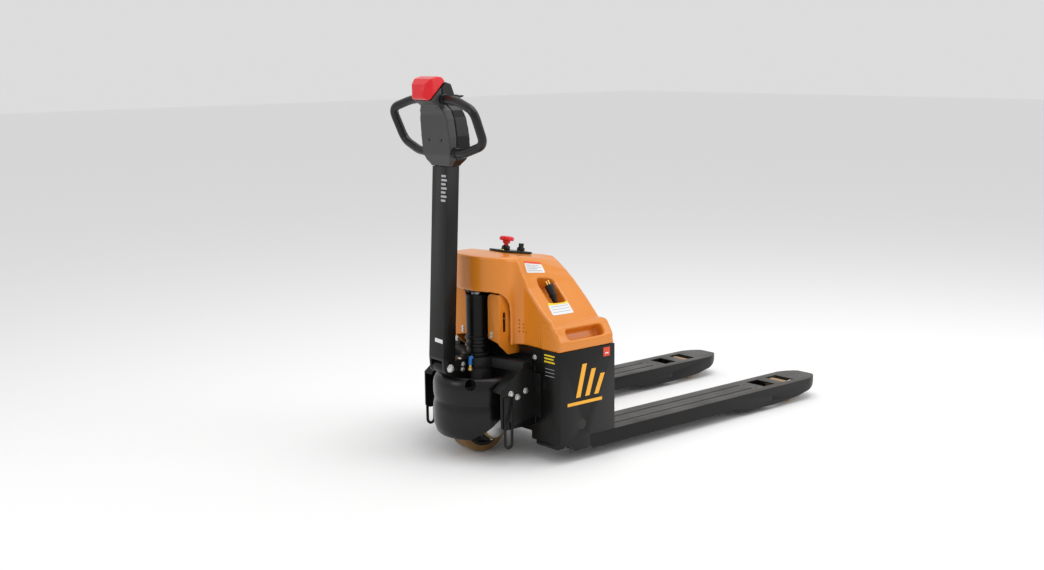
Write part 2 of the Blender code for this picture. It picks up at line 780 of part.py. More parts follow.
def yoke(parent):
    """A ring round the drive unit's neck, with arms that reach back, out and down to the rocker's pins."""
    ring_low, ring_high = 0.300, 0.338
    collar = round_bar("yoke", (STEER_X, 0), 0.060, ring_low, ring_high, "Z", 28)
    ear_back = YOKE_PIN_X + 0.0544
    arms = []
    for word, side in SIDES:
        plan = [(STEER_X + 0.007, side * 0.020), (STEER_X + 0.063, side * 0.020)]
        plan += [(ear_back, side * 0.196), (ear_back - 0.030, side * 0.196)]
        arms.append(prism("yoke_arm_" + word, plan, ring_low + 0.001, ring_high - 0.003, "Z"))
        eye = arc((YOKE_PIN_X, YOKE_PIN_Z), 0.020, 200, 340, 8)
        ear = [
            (ear_back, ring_high - 0.004),
            (ear_back, 0.240),
            *reversed(eye),
            (ear_back - 0.030, 0.290),
            (ear_back - 0.030, ring_high - 0.004),
        ]
        ear_low, ear_high = sorted((side * 0.186, side * 0.1955))
        arms.append(prism("yoke_ear_" + word, ear, ear_low, ear_high, "Y"))
    add(collar, *arms)
    cut(collar, round_bar("neck_bore", (STEER_X, 0), NECK_RADIUS + RUN, 0.2, 0.4, "Z", 28))
    slot_half = 0.0075
    reach = ROCKER_ARM * (1 - cos(ROCKER_SWING / 2))
    slot = [
        *arc((YOKE_PIN_X + 0.001, YOKE_PIN_Z), slot_half, -90, 90, 8),
        *arc((YOKE_PIN_X - reach - 0.001, YOKE_PIN_Z), slot_half, 90, 270, 8),
    ]
    cut(collar, prism("yoke_slot", slot, -0.3, 0.3, "Y"))
    return piece(collar, "cast_iron", parent)


# Drive unit


def drive_frame(parent):
    """The forked bracket over the drive wheel, with the neck that turns in the yoke."""
    plate_low, plate_high = 0.222, 0.238
    frame = block("drive_frame", (STEER_X - 0.110, -0.053, plate_low), (STEER_X + 0.060, 0.053, plate_high))
    cheeks = []
    for side in (-1, 1):
        low, high = sorted((side * 0.045, side * 0.053))
        outline = [
            (STEER_X - 0.055, plate_low + 0.004),
            *arc((STEER_X, DRIVE_WHEEL_RADIUS), 0.034, 180, 360, 10),
            (STEER_X + 0.055, plate_low + 0.004),
        ]
        cheeks.append(prism("frame_cheek_" + str(side + 1), outline, low, high, "Y"))
    neck = round_bar("frame_neck", (STEER_X, 0), NECK_RADIUS, plate_high - 0.004, 0.3445, "Z", 28)
    shoulder = round_bar("frame_shoulder", (STEER_X, 0), 0.058, plate_high - 0.005, 0.300 - GAP, "Z", 28)
    add(frame, *cheeks, neck, shoulder)
    bore = round_bar("axle_bore", (STEER_X, DRIVE_WHEEL_RADIUS), 0.0125 + GAP, -0.1, 0.1, "Y", 16)
    cut(frame, bore)
    return piece(frame, "cast_iron", parent)


def tiller_bracket(parent):
    """A solid arm bolted to the front of the drive frame, which holds the tiller's pivot."""
    radius = 0.020
    outline = [
        (STEER_X - 0.058 - GAP, 0.239),
        (STEER_X - 0.058 - GAP, 0.290),
        (STEER_X - 0.0625, 0.298),
        (STEER_X - 0.0625, 0.340),
        (TILLER_PIVOT_X, TILLER_PIVOT_Z + radius),
        *arc((TILLER_PIVOT_X, TILLER_PIVOT_Z), radius, 100, 250, 10),
        (STEER_X - SHROUD_RADIUS + 0.016, SHROUD_TOP + 0.0025),
        (STEER_X - SHROUD_RADIUS + 0.053, 0.262),
        (STEER_X - SHROUD_RADIUS + 0.050, 0.239),
    ]
    arm = prism("tiller_bracket", outline, -0.030, 0.030, "Y")
    bore = round_bar("pivot_bore", (TILLER_PIVOT_X, TILLER_PIVOT_Z), 0.008 + RUN, -0.1, 0.1, "Y", 16)
    cut(arm, bore)
    return piece(arm, "black_paint", parent)


def cylinder(parent):
    flange_low = 0.345
    radius = BARREL_RADIUS
    barrel = turned(
        "cylinder_barrel",
        [
            (0.054, flange_low + GAP),
            (0.054, flange_low + 0.007),
            (radius, flange_low + 0.008),
            (radius, 0.3700),
            (radius + 0.005, 0.3715),
            (radius + 0.005, 0.381),
            (radius, 0.3825),
            (radius, 0.395),
            (radius + 0.005, 0.3965),
            (radius + 0.005, 0.406),
            (radius, 0.4075),
            (radius, 0.540),
        ],
        (STEER_X, 0),
        "Z",
        28,
    )
    cut(barrel, round_bar("cylinder_bore", (STEER_X, 0), ROD_RADIUS + 0.0068, 0.375, 0.6, "Z", 20))
    piece(barrel, "black_paint", parent)
    gland = round_bar("cylinder_gland", (STEER_X, 0), radius + 0.001, 0.540 + GAP, 0.552, "Z", 28)
    cut(gland, round_bar("gland_bore", (STEER_X, 0), ROD_RADIUS + RUN, 0.5, 0.6, "Z", 20))
    piece(gland, "black_paint", parent)


def motor(parent):
    """Traction motor on the right cheek, coaxial with the wheel."""
    centre = (STEER_X, DRIVE_WHEEL_RADIUS)
    housing = turned(
        "drive_motor_housing",
        [(0.060, -0.053 - GAP), (0.060, -0.066), (0.050, -0.074)],
        centre,
        "Y",
        20,
    )
    cut(housing, round_bar("housing_bore", centre, 0.0125 + GAP, -0.2, 0, "Y", 16))
    piece(housing, "cast_iron", parent)
    cap = turned(
        "drive_motor_cap",
        [(0.047, -0.074 - GAP), (0.047, -0.094), (0.042, -0.100), (0.030, -0.104)],
        centre,
        "Y",
        20,
    )
    piece(cap, "aluminium", parent)
    axle = turned(
        "drive_axle",
        [
            (0.0125, -0.0735),
            (0.0125, 0.053 + GAP),
            (0.024, 0.0534),
            (0.024, 0.064),
            (0.016, 0.066),
            (0.016, 0.072),
        ],
        centre,
        "Y",
        20,
    )
    piece(axle, "steel", parent)


def drive_wheel(parent):
    centre = (STEER_X, DRIVE_WHEEL_RADIUS)
    half = DRIVE_WHEEL_WIDTH / 2
    tread_depth = 0.022
    rim = DRIVE_WHEEL_RADIUS - tread_depth
    face = [(0.030, 0.043), (0.036, 0.041), (0.037, half - 0.010), (0.070, half - 0.010)]
    face += [(0.072, half), (rim, half)]
    profile = [(r, -h) for r, h in face] + face[::-1]
    hub = turned("drive_wheel_hub", profile, centre, "Y", 32)
    cut(hub, round_bar("hub_bore", centre, 0.0125 + RUN, -0.1, 0.1, "Y", 16))
    piece(hub, "cast_iron", parent)
    tread = turned(
        "drive_wheel_tread",
        [
            (DRIVE_WHEEL_RADIUS - 0.004, -half),
            (DRIVE_WHEEL_RADIUS, -half + 0.006),
            (DRIVE_WHEEL_RADIUS, half - 0.006),
            (DRIVE_WHEEL_RADIUS - 0.004, half),
        ],
        centre,
        "Y",
        40,
    )
    cut(tread, round_bar("tread_bore", centre, rim + GAP, -0.1, 0.1, "Y", 32))
    piece(tread, "polyurethane", parent)


def shroud(parent):
    """A skirt round the front half of the drive wheel, with its lower edge raised at the sides."""
    radius = SHROUD_RADIUS
    outside = [
        (radius - 0.030, 0.062),
        (radius - 0.012, 0.078),
        (radius - 0.003, 0.105),
        (radius, 0.150),
        (radius - 0.001, 0.178),
        (radius - 0.006, 0.190),
        (radius - 0.002, 0.215),
        (radius - 0.002, 0.250),
        (radius - 0.008, SHROUD_TOP - 0.012),
        (radius - 0.016, SHROUD_TOP),
    ]
    skin = turned("wheel_shroud", outside, (STEER_X, 0), "Z", 40)
    inside = [(r - SHROUD_WALL, z) for r, z in outside]
    inside[0] = (inside[0][0], 0.03)
    inside[-1] = (inside[-1][0] - 0.010, SHROUD_TOP + 0.05)
    cut(skin, turned("shroud_hollow", inside, (STEER_X, 0), "Z", 40))
    rear = [(STEER_X + 0.020, -0.3), (STEER_X + 0.3, -0.3), (STEER_X + 0.3, 0.3), (STEER_X + 0.020, 0.3)]
    skirt = [
        (STEER_X - 0.118, 0.030),
        (STEER_X - 0.105, 0.078),
        (STEER_X - 0.060, 0.112),
        (STEER_X - 0.010, 0.165),
        (STEER_X + 0.050, 0.200),
        (STEER_X + 0.100, 0.030),
    ]
    cut(
        skin,
        prism("shroud_back", rear, -0.1, 0.5, "Z"),
        prism("shroud_skirt", skirt, -0.2, 0.2, "Y"),
    )
    piece(skin, "black_plastic", parent)


def hose(parent):
    start = Vector((STEER_X - 0.066, -0.042, 0.302))
    fitting = turned(
        "hose_fitting",
        [(0.009, 0.300), (0.009, 0.309), (0.006, 0.310), (0.006, 0.318)],
        (start.x, start.y),
        "Z",
        16,
    )
    piece(fitting, "brass", parent)
    route = rounded_route(
        [
            (start.x, start.y, 0.318 + GAP),
            (start.x, start.y, 0.343),
            (STEER_X - 0.056, -0.042, 0.3435),
        ],
        0.008,
        4,
    )
    piece(tube_along("hydraulic_hose", route[:-1], 0.0065, 14), "blue_hose", parent)


# Tiller


def tiller_arm(parent):
    """A rectangular tube that leans a little towards the forks, welded to cheeks astride the bracket."""
    foot_z = TILLER_PIVOT_Z + 0.034
    lean = TILLER_LEAN / (TILLER_TOP - TILLER_PIVOT_Z)
    foot_x = TILLER_PIVOT_X + lean * (foot_z - TILLER_PIVOT_Z)
    depth = TILLER_DEPTH / 2
    outline = [
        (foot_x - depth, foot_z),
        (foot_x + depth, foot_z),
        (HEAD_X + depth, TILLER_TOP),
        (HEAD_X - depth, TILLER_TOP),
    ]
    half = TILLER_WIDTH / 2
    arm = prism("tiller_arm", outline, -half, half, "Y")
    room = inset(anticlockwise(outline), 0.003)
    room = [(x, z + (0.03 if z > 0.6 else 0)) for x, z in room]
    add(arm, tiller_cheeks(foot_z, foot_x - depth, foot_x + depth))
    cut(arm, prism("tiller_bore", room, -half + 0.003, half - 0.003, "Y"))
    gap_box = block(
        "clevis_gap",
        (TILLER_PIVOT_X - 0.1, -0.030 - RUN, 0.2),
        (TILLER_PIVOT_X + 0.1, 0.030 + RUN, foot_z - 0.008),
    )
    bore = round_bar("clevis_bore", (TILLER_PIVOT_X, TILLER_PIVOT_Z), 0.008 + GAP, -0.1, 0.1, "Y", 16)
    cut(arm, gap_box, bore)
    piece(arm, "black_paint", parent)
    bolt = turned(
        "tiller_pivot_bolt",
        [
            (0.012, -0.049),
            (0.0135, -0.047),
            (0.0135, -0.040 - GAP),
            (0.008, -0.0402),
            (0.008, 0.0402),
            (0.0135, 0.040 + GAP),
            (0.0135, 0.047),
            (0.012, 0.049),
        ],
        (TILLER_PIVOT_X, TILLER_PIVOT_Z),
        "Y",
        20,
    )
    piece(bolt, "steel", parent)


def tiller_cheeks(foot_z, front, back):
    outline = [
        *arc((TILLER_PIVOT_X, TILLER_PIVOT_Z), 0.021, 180, 360, 12),
        (back, foot_z - 0.004),
        (back, foot_z + 0.001),
        (front, foot_z + 0.001),
    ]
    return prism("tiller_cheeks", outline, -TILLER_WIDTH / 2 + 0.0001, TILLER_WIDTH / 2 - 0.0001, "Y")


HEAD_SIDE = [
    (-0.027, GAP),
    (0.026, GAP),
    (0.045, 0.050),
    (0.040, 0.120),
    (0.030, 0.180),
    (0.006, 0.232),
    (-0.008, 0.272),
    (-0.030, 0.278),
    (-0.092, 0.216),
    (-0.062, 0.200),
    (-0.050, 0.170),
    (-0.040, 0.050),
]
HEAD_FRONT = [
    (0.042, -0.012),
    (0.047, 0.021),
    (0.066, 0.042),
    (0.070, 0.062),
    (0.069, 0.165),
    (0.060, 0.185),
    (0.047, 0.198),
    (0.047, 0.320),
]


def in_head(points):
    return [(HEAD_X + x, TILLER_TOP + z) for x, z in points]


def head_front_outline(grow):
    right = [(y + grow, TILLER_TOP + z) for y, z in HEAD_FRONT]
    return right + [(-y, z) for y, z in reversed(right)]


def head_solid(name, wall):
    side = anticlockwise(in_head(HEAD_SIDE))
    side = inset(side, wall) if wall else side
    solid = prism(name, side, -0.1 + wall, 0.1 - wall, "Y")
    front = prism(name + "_front", head_front_outline(-wall), HEAD_X - 0.21, HEAD_X + 0.17, "X")
    return keep(solid, front)


def head(parent):
    """Two half shells: the grey underside and the darker control side."""
    split = in_head([(-0.013, -0.01), (-0.026, 0.110), (-0.044, 0.235), (-0.050, 0.300)])
    front_half = [*split, (HEAD_X - 0.2, TILLER_TOP + 0.3), (HEAD_X - 0.2, TILLER_TOP - 0.01)]
    rear_half = [(x + GAP, z) for x, z in split] + [
        (HEAD_X + 0.2, TILLER_TOP + 0.3),
        (HEAD_X + 0.2, TILLER_TOP - 0.01),
    ]
    halves = (
        ("head_lower_shell", front_half, "grey_plastic"),
        ("head_upper_shell", rear_half, "black_plastic"),
    )
    made = []
    for name, outline, finish_name in halves:
        shell = head_solid(name, 0)
        keep(shell, prism(name + "_half", outline, -0.12, 0.12, "Y"))
        hollow = head_solid(name + "_hollow", 0.0035)
        cut(shell, hollow)
        made.append(piece(shell, finish_name, parent))
    return made


LOOP_CORNERS = [
    (-0.043, 0.040, 0.222),
    (-0.044, 0.118, 0.219),
    (-0.055, 0.222, 0.188),
    (-0.008, 0.216, 0.078),
    (-0.017, 0.112, 0.044),
    (-0.016, 0.055, 0.052),
]


def handle_loops(parent):
    """Bent bars from the head's neck, out, down and back into its lower sides."""
    for word, side in SIDES:
        corners = [(HEAD_X + x, side * y, TILLER_TOP + z) for x, y, z in LOOP_CORNERS]
        loop = tube_along("handle_loop_" + word, rounded_route(corners, 0.034), 0.0145, 12)
        socket = prism(
            "loop_socket_" + word, head_front_outline(GAP), HEAD_X - 0.3, HEAD_X + 0.3, "X"
        )
        cut(loop, socket)
        piece(loop, "black_rubber", parent)


BUTTON_LEAN = radians(7)  # slope of the head's control face
BUTTONS = (("raise_button", 0.022, 0.150), ("lower_button", -0.022, 0.150), ("horn_button", 0.0, 0.112))


def head_controls(tiller, upper_shell):
    """Push buttons in the control face, the butterfly lever above them and the belly button on the end."""
    out = Vector((cos(BUTTON_LEAN), 0, sin(BUTTON_LEAN)))
    for name, y, height in BUTTONS:
        face = Vector((HEAD_X + 0.0400 - (height - 0.120) * 0.16, y, TILLER_TOP + height))
        axis_empty = body(name + "_axis", face, tiller)
        button = tube_along(name, [face - out * 0.008, face + out * 0.005], 0.0080, 20)
        hole = tube_along(name + "_hole", [face - out * 0.02, face + out * 0.02], 0.0085, 20)
        cut(upper_shell, hole)
        piece(button, "red_plastic" if name == "horn_button" else "grey_plastic", axis_empty)

    pivot = (HEAD_X + 0.0200, TILLER_TOP + 0.2262)
    lever_body = body("throttle_axis", (pivot[0], 0, pivot[1]), tiller)
    lever = round_bar("throttle_lever", pivot, 0.0088, -0.044, 0.044, "Y", 16)
    wing = [
        (pivot[0] + 0.002, pivot[1] - 0.004),
        (pivot[0] + 0.024, pivot[1] + 0.001),
        (pivot[0] + 0.026, pivot[1] + 0.006),
        (pivot[0] + 0.002, pivot[1] + 0.006),
    ]
    wings = []
    for word, side in SIDES:
        middle = side * 0.0275
        wings.append(prism("throttle_wing_" + word, wing, middle - 0.0160, middle + 0.0160, "Y"))
    add(lever, *wings)
    piece(lever, "black_plastic", lever_body)

    slant = Vector((-1, 0, 1)).normalized() * (BELLY_TRAVEL + GAP)
    seam = [(-0.092 + slant.x, 0.216 + slant.z), (-0.030 + slant.x, 0.278 + slant.z)]
    crown = [(-0.042, 0.2925), (-0.060, 0.296), (-0.088, 0.288)]
    crown += [(-0.105, 0.270), (-0.113, 0.248), (-0.109, 0.224)]
    outline = in_head([seam[0], seam[1], *crown])
    belly_body = body("belly_axis", (HEAD_X - 0.07, 0, TILLER_TOP + 0.25), tiller)
    cap = prism("belly_button", anticlockwise(outline), -0.047, 0.047, "Y")
    plan = [
        (HEAD_X - 0.02, -0.050),
        (HEAD_X - 0.02, 0.050),
        (HEAD_X - 0.088, 0.047),
        (HEAD_X - 0.108, 0.038),
        (HEAD_X - 0.114, 0.024),
        (HEAD_X - 0.114, -0.024),
        (HEAD_X - 0.108, -0.038),
        (HEAD_X - 0.088, -0.047),
    ]
    keep(cap, prism("belly_plan", plan, TILLER_TOP + 0.1, TILLER_TOP + 0.4, "Z"))
    piece(cap, "red_plastic", belly_body)


# Lifting linkage


def turned_pin(name, centre, profile, finish_name, parent):
    return piece(turned(name, profile, centre, "Y", 16), finish_name, parent)


def rocker(parent):
    """A shaft across the box: front arms reach the yoke, and short levers drive the push rods."""
    centre = (ROCKER_X, ROCKER_Z)
    shaft = turned(
        "rocker_shaft",
        [
            (0.0194, -HALF + GAP),
            (0.0194, -HALF + PLATE + 0.012),
            (SHAFT_RADIUS, -HALF + PLATE + 0.013),
            (SHAFT_RADIUS, HALF - PLATE - 0.013),
            (0.0194, HALF - PLATE - 0.012),
            (0.0194, HALF - GAP),
        ],
        centre,
        "Y",
        20,
    )
    levers = []
    lean = ROCKER_SWING / 2
    end = (ROCKER_X - ROCKER_LEVER * sin(lean), ROCKER_Z - ROCKER_LEVER * cos(lean))
    for word, side in SIDES:
        low, high = side * FORK_Y - 0.006, side * FORK_Y + 0.006
        levers.append(bar_between("rocker_lever_" + word, centre, end, 0.018, 0.0105, low, high))
        pin_low, pin_high = side * FORK_Y - 0.014, side * FORK_Y + 0.014
        levers.append(round_bar("lever_pin_" + word, end, 0.005, pin_low, pin_high, "Y", 20))
    add(shaft, *levers)
    piece(shaft, "steel", parent)
    for word, side in SIDES:
        tip = (YOKE_PIN_X, YOKE_PIN_Z)
        low, high = sorted((side * (ROCKER_ARM_Y - 0.005), side * (ROCKER_ARM_Y + 0.005)))
        arm = bar_between("rocker_arm_" + word, centre, tip, 0.021, 0.013, low, high)
        pin_low, pin_high = sorted((side * ROCKER_ARM_Y, side * 0.200))
        add(arm, round_bar("arm_pin_" + word, tip, 0.006, pin_low, pin_high, "Y", 20))
        cut(arm, round_bar("arm_bore_" + word, centre, SHAFT_RADIUS + GAP, low - 0.01, high + 0.01, "Y"))
        piece(arm, "black_paint", parent)


def bar_between(name, start, end, start_radius, end_radius, low, high):
    """A flat bar with round ends of two radii, seen along Y."""
    (x0, z0), (x1, z1) = start, end
    along = Vector((x1 - x0, z1 - z0))
    heading = degrees(along.angle_signed(Vector((1, 0))))
    spread = degrees(asin((start_radius - end_radius) / hypot(*along))) if along.length > 0.02 else 0
    outline = arc(start, start_radius, heading + 90 - spread, heading + 270 + spread, 10)
    outline += arc(end, end_radius, heading - 90 + spread, heading + 90 - spread, 8)
    return prism(name, outline, low, high, "Y")


def push_rod(parent, word, side):
    """A bar in the fork's channel, cranked up at the box to meet the rocker's lever."""
    y = side * FORK_Y
    lean = ROCKER_SWING / 2
    eye_x = ROCKER_X - ROCKER_LEVER * sin(lean)
    eye_z = ROCKER_Z - ROCKER_LEVER * cos(lean)
    pin_x = CARRIER_PIVOT_X - PUSH_PIN_RADIUS * sin(CARRIER_SWING / 2)
    rod_half = 0.006
    outline = [
        (eye_x + 0.014, PUSH_Z - rod_half),
        (pin_x - 0.020, PUSH_Z - rod_half),
        (pin_x - 0.020, PUSH_Z + rod_half),
        (eye_x + 0.014, PUSH_Z + rod_half),
    ]
    rod = prism("push_rod_" + word, outline, y - 0.008, y + 0.008, "Y")
    parts = []
    for mark, low, high in (("a", y - 0.0130, y - 0.0075), ("b", y + 0.0075, y + 0.0130)):
        front = [
            (eye_x + 0.026, PUSH_Z - rod_half),
            (eye_x + 0.026, PUSH_Z + rod_half),
            (eye_x + 0.0125, eye_z),
            *arc((eye_x, eye_z), 0.0115, 20, 200, 8),
            (eye_x - 0.0105, PUSH_Z - rod_half),
        ]
        parts.append(prism(f"rod_front_cheek_{mark}_{word}", anticlockwise(front), low, high, "Y"))
        rear = [
            (pin_x - 0.034, PUSH_Z - rod_half),
            *arc((pin_x, PUSH_Z), rod_half + 0.0025, -90, 90, 8),
            (pin_x - 0.034, PUSH_Z + rod_half),
        ]
        parts.append(prism(f"rod_rear_cheek_{mark}_{word}", rear, low, high, "Y"))
    add(rod, *parts)
    slack = 0.0024
    half_rise = PUSH_PIN_RADIUS * (1 - cos(CARRIER_SWING / 2)) / 2
    cut(
        rod,
        round_bar("rod_eye_" + word, (eye_x, eye_z), 0.005 + slack, y - 0.02, y + 0.02, "Y", 16),
        round_bar(
            "rod_hole_" + word, (pin_x, PUSH_Z + half_rise), 0.0035 + slack, y - 0.02, y + 0.02, "Y", 16
        ),
    )
    return piece(rod, "steel", parent)


def carrier(parent, word, side):
    """A pivoting frame that lowers the load roller, with a lug that the push rod drives."""
    y = side * FORK_Y
    pivot = (CARRIER_PIVOT_X, CARRIER_PIVOT_Z)
    axle = (ROLLER_X, ROLLER_RADIUS)
    pin = (CARRIER_PIVOT_X - PUSH_PIN_RADIUS * sin(CARRIER_SWING / 2), PUSH_Z)
    frame = round_bar("load_carrier_" + word, pivot, 0.014, y - 0.0620, y + 0.0620, "Y", 16)
    parts = []
    for mark, offset in (("a", -0.0560), ("b", 0.0500)):
        low, high = y + offset, y + offset + 0.006
        parts.append(bar_between(f"carrier_plate_{mark}_{word}", pivot, axle, 0.0165, 0.0140, low, high))
    parts.append(bar_between("carrier_lug_" + word, pivot, pin, 0.0120, 0.0070, y - 0.0060, y + 0.0060))
    parts.append(round_bar("carrier_push_pin_" + word, pin, 0.0035, y - 0.0125, y + 0.0125, "Y", 16))
    add(frame, *parts)
    cut(
        frame,
        round_bar("carrier_bore_" + word, pivot, 0.008 + RUN, y - 0.1, y + 0.1, "Y", 16),
        round_bar("carrier_axle_bore_" + word, axle, 0.007 + GAP, y - 0.1, y + 0.1, "Y", 16),
    )
    piece(frame, "black_paint", parent)
    reach = 0.0575
    turned_pin("load_axle_" + word, axle, [(0.007, y - reach), (0.007, y + reach)], "steel", parent)


def carrier_pin(parent, word, side):
    y = side * FORK_Y
    reach = FORK_WIDTH / 2 - 0.0005
    centre = (CARRIER_PIVOT_X, CARRIER_PIVOT_Z)
    turned_pin("carrier_pin_" + word, centre, [(0.008, y - reach), (0.008, y + reach)], "steel", parent)


def load_roller(parent, word, side):
    y = side * FORK_Y
    half = ROLLER_WIDTH / 2
    roller = turned(
        "load_roller_" + word,
        [
            (ROLLER_RADIUS - 0.003, y - half),
            (ROLLER_RADIUS, y - half + 0.003),
            (ROLLER_RADIUS, y + half - 0.003),
            (ROLLER_RADIUS - 0.003, y + half),
        ],
        (ROLLER_X, ROLLER_RADIUS),
        "Y",
        20,
    )
    centre = (ROLLER_X, ROLLER_RADIUS)
    cut(roller, round_bar("roller_bore_" + word, centre, 0.007 + RUN, y - 0.1, y + 0.1, "Y"))
    piece(roller, "tan_polyurethane", parent)


def main():
    clear_scene()
    root = body("truck", (0, 0, 0))
    yoke_body = body("yoke_body", (STEER_X, 0, 0.32), root)
    yoke(yoke_body)

    steering = body("steering_axis", (STEER_X, 0, 0.32), yoke_body)
    drive_frame(steering)
    tiller_bracket(steering)
    cylinder(steering)
    motor(steering)
    shroud(steering)
    hose(steering)
    wheel_axis = body("drive_wheel_axis", (STEER_X, 0, DRIVE_WHEEL_RADIUS), steering)
    drive_wheel(wheel_axis)

    tiller = body("tiller_axis", (TILLER_PIVOT_X, 0, TILLER_PIVOT_Z), steering)
    tiller_arm(tiller)
    shells = head(tiller)
    handle_loops(tiller)
    head_controls(tiller, shells[1])

    chassis = body("chassis_axis", (0, 0, 0.2), yoke_body)
    chassis_box(chassis)
    side_brackets(chassis)
    guard_loops(chassis)
    mast_posts(chassis)
    crosshead(chassis)
    piston_rod(chassis)
    hood(chassis)
    charger_plug(chassis)
    top_controls(chassis)
    power_pack(chassis)

    rocker(body("rocker_axis", (ROCKER_X, 0, ROCKER_Z), chassis))
    for word, side in SIDES:
        y = side * FORK_Y
        fork(chassis, word, side)
        carrier_pin(chassis, word, side)
        push_rod(body("push_axis_" + word, (0, y, PUSH_Z), chassis), word, side)
        pivot = body("carrier_axis_" + word, (CARRIER_PIVOT_X, y, CARRIER_PIVOT_Z), chassis)
        carrier(pivot, word, side)
        roller_axis = body("roller_axis_" + word, (ROLLER_X, y, ROLLER_RADIUS), pivot)
        load_roller(roller_axis, word, side)

    for tool in bpy.data.objects:
        if tool.parent is None and tool != root:
            tool.parent = root
    root.location = (ORIGIN_X, 0, 0)
    bpy.context.view_layer.update()


main()
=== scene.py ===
"""Electric pallet truck dressed for display: rounded metalwork, moulded hood and head, marks and finishes.

Metres, +Z up, +X from the operator to the fork tips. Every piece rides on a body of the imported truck.
"""

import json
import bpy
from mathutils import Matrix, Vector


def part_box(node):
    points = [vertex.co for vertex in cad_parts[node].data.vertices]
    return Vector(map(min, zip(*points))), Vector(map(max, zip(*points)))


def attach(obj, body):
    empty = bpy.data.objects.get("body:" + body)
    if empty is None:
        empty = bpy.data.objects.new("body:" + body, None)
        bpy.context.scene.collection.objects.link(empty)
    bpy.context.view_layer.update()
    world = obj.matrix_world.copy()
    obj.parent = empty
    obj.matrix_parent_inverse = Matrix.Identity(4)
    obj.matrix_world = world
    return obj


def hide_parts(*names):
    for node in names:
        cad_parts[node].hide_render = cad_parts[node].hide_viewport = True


bl_info = {
    "name": "Electric Pallet Truck",
    "version": (1, 0, 0),
    "blender": (4, 5, 0),
    "location": "View3D > Sidebar > Truck",
    "description": "Dresses the packed pallet truck with its visible pieces and finishes",
    "category": "Object",
}

from math import cos, pi, radians, sin

import bmesh
import bpy
from bpy.props import FloatProperty, FloatVectorProperty, PointerProperty
from mathutils import Matrix, Vector

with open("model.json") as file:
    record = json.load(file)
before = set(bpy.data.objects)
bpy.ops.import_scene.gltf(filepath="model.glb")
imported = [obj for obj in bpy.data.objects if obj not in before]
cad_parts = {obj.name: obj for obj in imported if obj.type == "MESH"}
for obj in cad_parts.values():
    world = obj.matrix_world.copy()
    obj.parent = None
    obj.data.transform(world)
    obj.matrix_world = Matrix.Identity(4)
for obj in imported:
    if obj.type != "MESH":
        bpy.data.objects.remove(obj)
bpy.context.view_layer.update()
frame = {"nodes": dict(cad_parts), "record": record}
NODES = frame["nodes"]
SLOT_OF = {row["node"]: row["material_slot"] for row in frame["record"]["subparts"]}
BODY_OF = {node: body for body, members in frame["record"]["behaviour"]["bodies"].items() for node in members}

BOX_LOW, BOX_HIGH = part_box("chassis_box")
REAR = BOX_HIGH.x  # battery box's rear face
FRONT = BOX_LOW.x  # its front face
HALF = BOX_HIGH.y
BOX_TOP = BOX_HIGH.z
STEER_X = (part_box("drive_wheel_hub")[0].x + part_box("drive_wheel_hub")[1].x) / 2
WHEEL_Z = (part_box("drive_wheel_hub")[0].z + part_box("drive_wheel_hub")[1].z) / 2
ARM_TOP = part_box("tiller_arm")[1].z
HEAD_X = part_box("tiller_arm")[1].x - 0.025
FORK_Y = (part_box("fork_left")[0].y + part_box("fork_left")[1].y) / 2
FORK_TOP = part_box("fork_left")[1].z
SIDES = (("left", 1), ("right", -1))


# Colours and sizes


def colour(name, default, description):
    return FloatVectorProperty(
        name=name, description=description, default=default, size=3, min=0, max=1, subtype="COLOR"
    )


def length(name, default, description):
    return FloatProperty(
        name=name,
        description=description,
        default=default,
        min=0.0001,
        max=0.2,
        unit="LENGTH",
        subtype="DISTANCE",
    )


class TruckColours(bpy.types.PropertyGroup):
    orange: colour("Orange", (0.70, 0.222, 0.013), "Hood and mast posts")
    black: colour("Black", (0.0045, 0.0045, 0.0042), "Painted steel")
    plastic: colour("Black plastic", (0.0040, 0.0040, 0.0042), "Shroud, switches and panel")
    grey: colour("Grey plastic", (0.048, 0.048, 0.049), "Head's housing")
    red: colour("Red", (0.72, 0.010, 0.018), "Belly button, emergency stop and horn")
    rubber: colour("Rubber", (0.0050, 0.0050, 0.0050), "Handle loops and charger plug")
    tread: colour("Tread", (0.20, 0.105, 0.030), "Drive wheel's polyurethane")
    roller: colour("Roller", (0.42, 0.25, 0.11), "Load rollers' polyurethane")
    mark: colour("Mark", (0.90, 0.42, 0.02), "Painted marks on the battery box")
    floor: colour("Floor", (0.93, 0.93, 0.93), "Studio floor")


class TruckSizes(bpy.types.PropertyGroup):
    edge: length("Steel edge", 0.0011, "Rounding along the edges of cut and bent steel")
    hood_wall: length("Hood wall", 0.009, "Thickness of the hood's moulding")
    hood_cell: length("Hood cell", 0.0042, "Fineness of the hood's moulded surface")
    loop_radius: length("Loop radius", 0.0145, "Half the thickness of a handle loop")
    bolt_head: length("Bolt head", 0.0088, "Radius of the exposed bolt heads")
    groove: length("Fork groove", 0.009, "Width of the grooves pressed into the forks")


# Modelling


def deselect():
    if bpy.context.mode != "OBJECT":
        bpy.ops.object.mode_set(mode="OBJECT")
    bpy.ops.object.select_all(action="DESELECT")


def take(obj):
    """Leaves obj as the only selected and active object."""
    deselect()
    obj.select_set(True)
    bpy.context.view_layer.objects.active = obj


